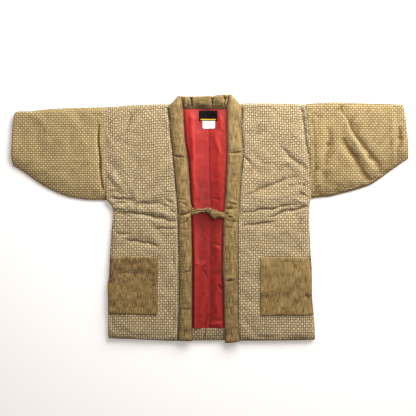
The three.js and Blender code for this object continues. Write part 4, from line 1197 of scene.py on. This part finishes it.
# %% Lining
LINING_TOP, LINING_HEM, UNDER_BAND = 10.8, -356.0, 10
TIE_Y, LABEL_X, LABEL_Y, LABEL_HALF = 14.0, -5.7, 321, 30
lining_seam = curve("y x", [(360, -4.9), (175, -4.9), (60, 0), (-265, 0), (-356, -3.2)])
LINING_FOLDS = [
    (-60, 362, -46, 60, 2, 9, 5), (-80, 362, -62, 60, 0, 7, -2), (-40, 340, -38, 120, 0, 12, 1.6),
    (24, 362, 30, 60, -2, 10, 1.2), (20, 356, 42, 284, 0, 7, 3), (14, 276, 40, 200, 0, 7, 2.4),
    (-46, 40, -42, -200, 3, 11, 3), (26, 30, 24, -170, -3, 12, 3.4), (-30, 20, -20, -120, 0, 7, -1.2),
    (-50, -150, -8, -141, 0, 7, 2.4), (-54, -158, -30, -142, 0, 3, -2), (-6, -180, -28, -330, 0, 9, 2),
    (8, -90, 38, -98, 0, 8, 2.2), (20, -180, 26, -330, 0, 9, 3), (26, -215, 38, -240, 0, 6, -3),
    (6, 70, 36, 62, 0, 3, -1.8), (-28, -165, -8, -195, 0, 3, -1.8), (10, -80, 38, -88, 0, 3, -1.8),
    (0, -345, 40, -338, 0, 6, 3), (-3, -306, -16, -362, 0, 3, -3),
]


def lining_sag(x, y):
    """The halves rise from the centre seam, and lie flatter under the label and at the neck."""
    beyond = x - lining_seam(y)
    slope, reach = np.where(beyond < 0, 0.22, 0.16), np.where(beyond < 0, 46, 32)
    flatter = (1 - 0.5 * np.exp(-((y - 322) / 45) ** 2)) * np.clip((362 - y) / 36, 0.15, 1)
    return slope * np.minimum(np.sqrt(beyond ** 2 + 4) - 2, reach) * flatter


# Painted shading down the lining: a little painted light near the neck, painted shadow below the tie and
# painted shade towards the hem.
lining_painted_shading = curve("y tone", [
    (360, 0.15), (200, 0.1), (110, -0.35), (40, -0.55), (-4, -0.9), (-50, -0.6), (-200, -0.4), (-356, -0.5),
])


def lining(name, left, right):
    place = patch(left, right, level(LINING_HEM), shifted(neckline, 0.7))
    u, v = np.meshgrid(fractions(72, 1.8, THIN_RIM), fractions(714, 2.8, (0, 0.6, 2)))
    x, y = place(u, v)
    from_right, from_left, from_neck = x - right_inner(y), left_inner(y) - x, neckline(x) - y
    beside = np.clip(np.minimum(from_right / 12 + 0.1, from_left / 24 + 0.55), 0, 1)
    beside = beside * beside * (3 - 2 * beside)
    label_gap = np.hypot(*[np.maximum(np.abs(at - middle) - LABEL_HALF, 0)
                           for at, middle in ((x, LABEL_X), (y, LABEL_Y))])
    clear = np.clip(label_gap / 14, 0, 1) * np.clip(from_neck / 30, 0.08, 1)
    soft = 1.0 * rumple(x, y * 0.4, 26, 101) + 0.4 * rumple(x, y, 12, 102)
    beyond = x - lining_seam(y)
    tuck = -1.1 * np.exp(-((beyond - 3) / 2.5) ** 2) + 0.6 * np.exp(-((beyond + 5) / 4) ** 2)
    pressed = 1 - 0.8 * np.exp(-((y - TIE_Y) / np.where(y > TIE_Y, 14, 80)) ** 2)
    pulled = 6.5 * np.exp(-np.abs(y - TIE_Y) / 38)
    loose = (relief(LINING_FOLDS)(x, y) + soft + tuck) * clear + 0.9 + lining_sag(x, y)
    z = LINING_TOP + np.maximum((loose * pressed + pulled) * beside, -0.6)
    foot = np.minimum(from_right + 1, from_left)
    # Painted shadow at the foot of each band and under the neck collar.
    tone = lining_painted_shading(y) - 1.1 * np.exp(-np.maximum(foot, 0) / 6)
    tone = tone - 0.7 * np.exp(-np.maximum(from_neck, 0) / 7)
    return between(name, stacked(x, y, z), stacked(x, y, FRONT_FLOOR), RED_LINING, tone=tone)


lining_right = dress(lining("right_lining_cloth", shifted(right_inner, -UNDER_BAND),
                            lining_seam), ["lining_right"])
lining_left = dress(lining("left_lining_cloth", lining_seam,
                           shifted(left_inner, UNDER_BAND)), ["lining_left"])

# %% [markdown]
# ## The turned-up hem
# Below the lining the back's own cloth is turned up inside. One slanted crease crosses it.

# %% Hem facing
def hem_facing(name):
    place = patch(shifted(right_inner, -UNDER_BAND), shifted(left_inner, UNDER_BAND), level(-396),
                  level(LINING_HEM))
    u, v = np.meshgrid(fractions(124, 2.4, THIN_RIM), fractions(40, 2, THIN_RIM))
    x, y = place(u, v)
    from_end, from_top = edge_distances(place, u, v)[2:]
    crease = relief([(-8, -340, -24, -404, 0, 3, -1)], wander=0.0)(x, y)
    slope = 6.4 * (1 - (1 - v) ** 2)
    z = FRONT_FLOOR + (0.6 + slope) * edge(from_end, 6, 0.4) + 0.4 * rumple(x, y, 16, 121) + 3 * crease
    # Painted shade over the whole facing, darker still in its crease.
    return between(name, stacked(x, y, np.maximum(z, FRONT_FLOOR + 0.5)), stacked(x, y, FRONT_FLOOR),
                   BODY_CLOTH, seen_flat(x, y), tone=crease - 0.5)


facing = dress(hem_facing("hem_facing_cloth"), ["hem_facing"])

# %% [markdown]
# ## Label and size tag
# Two small flat pieces at the back of the neck, both bare. They lie on the lining, with edges that curl
# up a hair.

# %% Label and tag
LABEL_LIFT = 1.2


def small_label(name, left, right, bottom, top, corner, thick, material):
    rim = (0, 0.3, 0.9, 2)
    u, v = np.meshgrid(fractions(right - left, 2, rim), fractions(top - bottom, 1.6, rim))
    y = bottom + (top - bottom) * v
    drawn = corner * (1 - round_off(y - bottom, corner))
    x = left + drawn + (right - left - 2 * drawn) * u
    free = np.minimum(np.minimum(u, 1 - u) * (right - left), np.minimum(v, 1 - v) * (top - bottom))
    curl = 0.35 * rumple(x, y, 14, int(thick * 100)) * np.clip(free / 3, 0, 1)
    under = LINING_TOP + lining_sag(x, y) + LABEL_LIFT
    return between(name, stacked(x, y, under + thick * edge(free, 1.2, 0.6) + curl),
                   stacked(x, y, under), material, seen_flat(x, y), rim_shade=0)


label = dress(small_label("neck_label", -35.7, 24.3, 317, 351, corner=0.8, thick=1.3,
                          material=LABEL_CLOTH), ["label"])
tag = dress(small_label("neck_tag", -24.3, 16.2, 291.5, 316.6, corner=5, thick=1.2,
                        material=TAG_CLOTH), ["size_tag"])

# %% [markdown]
# ## The tie
# Two soft straps come out from under the bands and are knotted once. A strap is a folded strip of cloth
# that the knot gathers, so its section is a flattened ring with grooves that run along it. Rings of points
# make it, each groove drawn in from the ring by one row of a table. The knot is a short loop of the same
# strap that climbs over the first one and dives behind it.

# %% Tie helpers
def strap_points(rings, grooves, around, count, seed):
    """Points round a soft strap that runs along X. A groove is an angle, its drift, a width and a depth."""
    columns = {name: through(rings, "x", name) for name in ("low", "high", "under", "over")}
    x = np.linspace(rings["x"].min(), rings["x"].max(), count)
    s, angle = np.meshgrid(np.linspace(0, 1, count), np.linspace(0, 2 * np.pi, around, endpoint=False),
                           indexing="ij")
    size = 1 + 0.07 * rumple(9 * np.cos(angle) + 20 * s, 9 * np.sin(angle) + 14 * s, 5, seed)
    for at, drift, width, depth in grooves:
        away = np.abs((angle - at - drift * s + np.pi) % (2 * np.pi) - np.pi)
        size = size - depth * np.exp(-(away / width) ** 2) * np.sin(np.pi * np.clip(s, 0.03, 0.97)) ** 0.5
    low, high, under, over = [columns[name](x)[:, None] for name in ("low", "high", "under", "over")]
    y = (low + high) / 2 + (high - low) / 2 * np.sign(np.cos(angle)) * np.abs(np.cos(angle)) ** 0.8 * size
    z = (under + over) / 2 + (over - under) / 2 * np.sin(angle) * size
    return np.stack([np.broadcast_to(x[:, None], y.shape), y, np.maximum(z, under)], axis=2)


def knot_loop(points, half_width, half_depth, around=18, count=40):
    """A flattened tube along a few points, closed at its ends."""
    where = np.linspace(0, 1, len(points))
    at = np.linspace(0, 1, count)
    path = np.stack([np.interp(at, where, column) for column in np.array(points).T], axis=1)
    for _ in range(6):
        path[1:-1] = (path[:-2] + 2 * path[1:-1] + path[2:]) / 4
    ahead = np.gradient(path, axis=0)
    ahead /= np.linalg.norm(ahead, axis=1)[:, None]
    side = np.cross(ahead, [0.15, -0.25, 1.0])
    side /= np.linalg.norm(side, axis=1)[:, None]
    out = np.cross(side, ahead)
    angle = np.linspace(0, 2 * np.pi, around, endpoint=False)
    taper = np.sin(np.pi * np.linspace(0.06, 0.94, count)) ** 0.35
    wide = (half_width * taper)[:, None] * np.cos(angle) * (1 + 0.08 * np.cos(5 * angle))
    deep = (half_depth * taper)[:, None] * np.sin(angle)
    return path[:, None] + wide[..., None] * side[:, None] + deep[..., None] * out[:, None]


def tubes(name, all_loops, material):
    points, faces, flat, swells, first = [], [], [], [], 0
    for loops in all_loops:
        count, around = loops.shape[:2]
        at = first + np.arange(count * around).reshape(count, around)
        after = np.roll(at, -1, axis=1)
        faces += np.stack([at[:-1], after[:-1], after[1:], at[1:]], axis=2).reshape(-1, 4).tolist()
        faces += [at[0, ::-1].tolist(), at[-1].tolist()]
        girth = np.linspace(0, 75, around)[None, :] + np.zeros((count, 1))
        centre = loops.mean(axis=1, keepdims=True)
        out = np.linalg.norm((loops - centre) / np.ptp(loops, axis=1, keepdims=True).clip(1), axis=2)
        # The swell of a strap's grooves gives them painted crease shade and ridge highlight.
        swells.append(stands_out(np.tile(out, 3) * 14, 1.0, 2.4, 0.7)[:, around:2 * around].ravel())
        points.append(loops.reshape(-1, 3))
        flat.append(np.stack([girth, loops[..., 0]], axis=2).reshape(-1, 2))
        first += count * around
    return make_piece(name, np.concatenate(points), faces, np.concatenate(flat), material,
                      np.concatenate(swells))


# %% Tie straps and knot
RIGHT_TIE = table("x low high under over", [
    (-60.5, 9, 36, 12.6, 20), (-55, 11, 35.5, 13, 22.5), (-48.7, 13.6, 34.6, 14, 24),
    (-42, 14.2, 35.6, 15, 24.5), (-35.7, 17.5, 33.4, 15.5, 24.5), (-28, 19.5, 31, 15.5, 24.5),
    (-20, 20.5, 32, 15.5, 25),
    (-13, 20, 33.5, 15.5, 26), (-6, 18, 34, 15.5, 26.5), (0, 15, 33, 15.5, 26), (5, 12, 31, 16, 24),
])
LEFT_TIE = table("x low high under over", [
    (47.6, 1.8, 20, 13.5, 22), (42, 1.6, 20.4, 15, 24), (36, 3.2, 20.8, 16, 24.5), (29, 4.6, 22.6, 16, 25),
    (22.7, 2.3, 26, 16, 25.5), (14.6, -1, 28.5, 16, 26), (9, 1.5, 30.5, 16, 26.5), (4, 6, 32, 16, 26.5),
    (0, 12, 30, 16, 24.5),
])
RIGHT_GROOVES = [
    (1.75, -0.5, 0.22, 0.42), (1.15, 0.5, 0.16, 0.22), (2.35, 0.2, 0.2, 0.2), (0.5, 0, 0.2, 0.16),
]
LEFT_GROOVES = [(1.9, 0.5, 0.14, 0.12), (1.2, -0.3, 0.12, 0.1), (2.6, 0, 0.2, 0.16)]
KNOT = knot_loop([(-20, 15, 17), (-19, 18, 24), (-15, 24, 28), (-11, 29, 28.2), (-7, 33, 25), (-6, 35, 18)],
                 half_width=3.6, half_depth=2.2)
TIP = knot_loop([(-6, 15, 23), (-2, 22, 28), (1.5, 28, 27.6), (1.5, 33, 23), (0, 34.5, 17)],
                half_width=3.4, half_depth=2.0)
RIGHT_STRAP = strap_points(RIGHT_TIE, RIGHT_GROOVES, around=72, count=110, seed=131)
LEFT_STRAP = strap_points(LEFT_TIE, LEFT_GROOVES, around=72, count=90, seed=141)
tie_right = dress(tubes("right_tie_cloth", [RIGHT_STRAP, KNOT, TIP], PLAIN_CLOTH),
                  ["tie_right"])
tie_left = dress(tubes("left_tie_cloth", [LEFT_STRAP], PLAIN_CLOTH), ["tie_left"])

# %% [markdown]
# ## Stitches
# A maker topstitches the pockets on three sides, fells the lining to the turned-up hem and sews the label
# round its edge. A stitch is a short length of thread that dips into the cloth at both ends. It could be a
# bump, but a tiny six-sided spindle catches the light from any side and costs only twelve faces.

# %% Stitches along a path
def evenly(path, step):
    run = np.insert(np.cumsum(np.linalg.norm(np.diff(path, axis=0), axis=1)), 0, 0)
    at = np.arange(0, run[-1], step)
    return np.stack([np.interp(at, run, column) for column in path.T], axis=1)


def stitches(name, paths, long, gap, radius, material):
    points, faces = [], []
    for path in paths:
        starts = evenly(path, long + gap)[:-1]
        ends = starts + np.diff(evenly(path, long + gap), axis=0) * long / (long + gap)
        for start, end in zip(starts, ends):
            ahead = (end - start) / max(np.linalg.norm(end - start), 1e-6)
            side = np.array([-ahead[1], ahead[0], 0.0])
            up = np.cross(ahead, side)
            first, middle = len(points), (start + end) / 2 + [0, 0, 0.55 * radius]
            turns = np.linspace(0, 2 * np.pi, 6, endpoint=False)
            ring = [middle + radius * (math.cos(turn) * side + math.sin(turn) * up) for turn in turns]
            points += [start, *ring, end]
            for k in range(6):
                one, two = first + 1 + k, first + 1 + (k + 1) % 6
                faces += [[first, two, one], [first + 7, one, two]]
    points = np.array(points)
    return make_piece(name, points, faces, points[:, :2], material)


# %% Rows of stitches
def three_sides(name, rows, open_top=True):
    """Lines a few rows in from the edges of a dressed sheet."""
    upper, inner = UPPER[name], slice(rows, -rows)
    sides = [upper[inner, rows], upper[rows, inner], upper[inner, -1 - rows]]
    return sides if open_top else [*sides, upper[-1 - rows, inner]]


HEM_LINES = [UPPER["right_lining_cloth"][2, 6:-2], UPPER["left_lining_cloth"][2, 2:-6]]
# Each row: name, lines, length of a stitch, gap to the next, thread radius, cloth and slot
STITCHES = [
    ("right_pocket_stitches", three_sides("right_pocket_cloth", 4), 2.6, 1.3, 0.42, THREAD, "plain_cloth"),
    ("left_pocket_stitches", three_sides("left_pocket_cloth", 4), 2.6, 1.3, 0.42, THREAD, "plain_cloth"),
    ("label_stitches", three_sides("neck_label", 3, open_top=False), 1.5, 0.9, 0.22, LABEL_CLOTH,
     "label_cloth"),
    ("lining_hem_stitches", HEM_LINES, 2.2, 3.2, 0.3, RED_LINING, "red_lining"),
]
for name, paths, long, gap, radius, material, slot in STITCHES:
    dress(stitches(name, paths, long, gap, radius, material), [])

# %% [markdown]
# ## The count of pieces

# %% Piece count
print("pieces:", len(PIECES))

# %% [markdown]
# ## Table and light
# A pale seamless table, a large soft window at the upper right, a smaller light beyond the collar and a
# dim, slightly warm surround. The window is low enough for each fold to show, and its shadow falls softly
# below the sleeves. A little glow of its own keeps the paper white to its corners.

# %% Table and light
def new_floor():
    shape = bmesh.new()
    bmesh.ops.create_grid(shape, x_segments=8, y_segments=8, size=4.0)
    mesh = bpy.data.meshes.new("table_top")
    shape.to_mesh(mesh)
    shape.free()
    material = bpy.data.materials.new("table_paper")
    material.use_nodes = True
    tree = material.node_tree
    wire_all(tree, tree.nodes["Principled BSDF"].inputs, Base_Color=(0.99, 0.96, 0.945, 1), Roughness=0.9,
             Emission_Color=(1, 0.965, 0.945, 1), Emission_Strength=0.25)
    mesh.materials.append(material)
    floor = bpy.data.objects.new("table_top", mesh)
    floor.location.z = -0.0005
    bpy.context.scene.collection.objects.link(floor)
    return floor


def soft_light(name, location, size, power):
    data = bpy.data.lights.new(name, "AREA")
    data.size, data.energy = size, power
    lamp = bpy.data.objects.new(name, data)
    lamp.location = location
    lamp.rotation_euler = (-lamp.location).to_track_quat("-Z", "Y").to_euler()
    bpy.context.scene.collection.objects.link(lamp)


new_floor()
soft_light("window", (1.38, 1.62, 1.26), size=1.9, power=79.0)
soft_light("bounce", (0.1, 1.2, 0.8), size=0.7, power=12.6)
world = bpy.data.worlds.new("studio")
world.use_nodes = True
surround = world.node_tree
wire_all(surround, surround.nodes["Background"].inputs, Color=(1, 0.94, 0.88, 1), Strength=0.27)
bpy.context.scene.world = world
bpy.context.scene.view_settings.view_transform = "Standard"
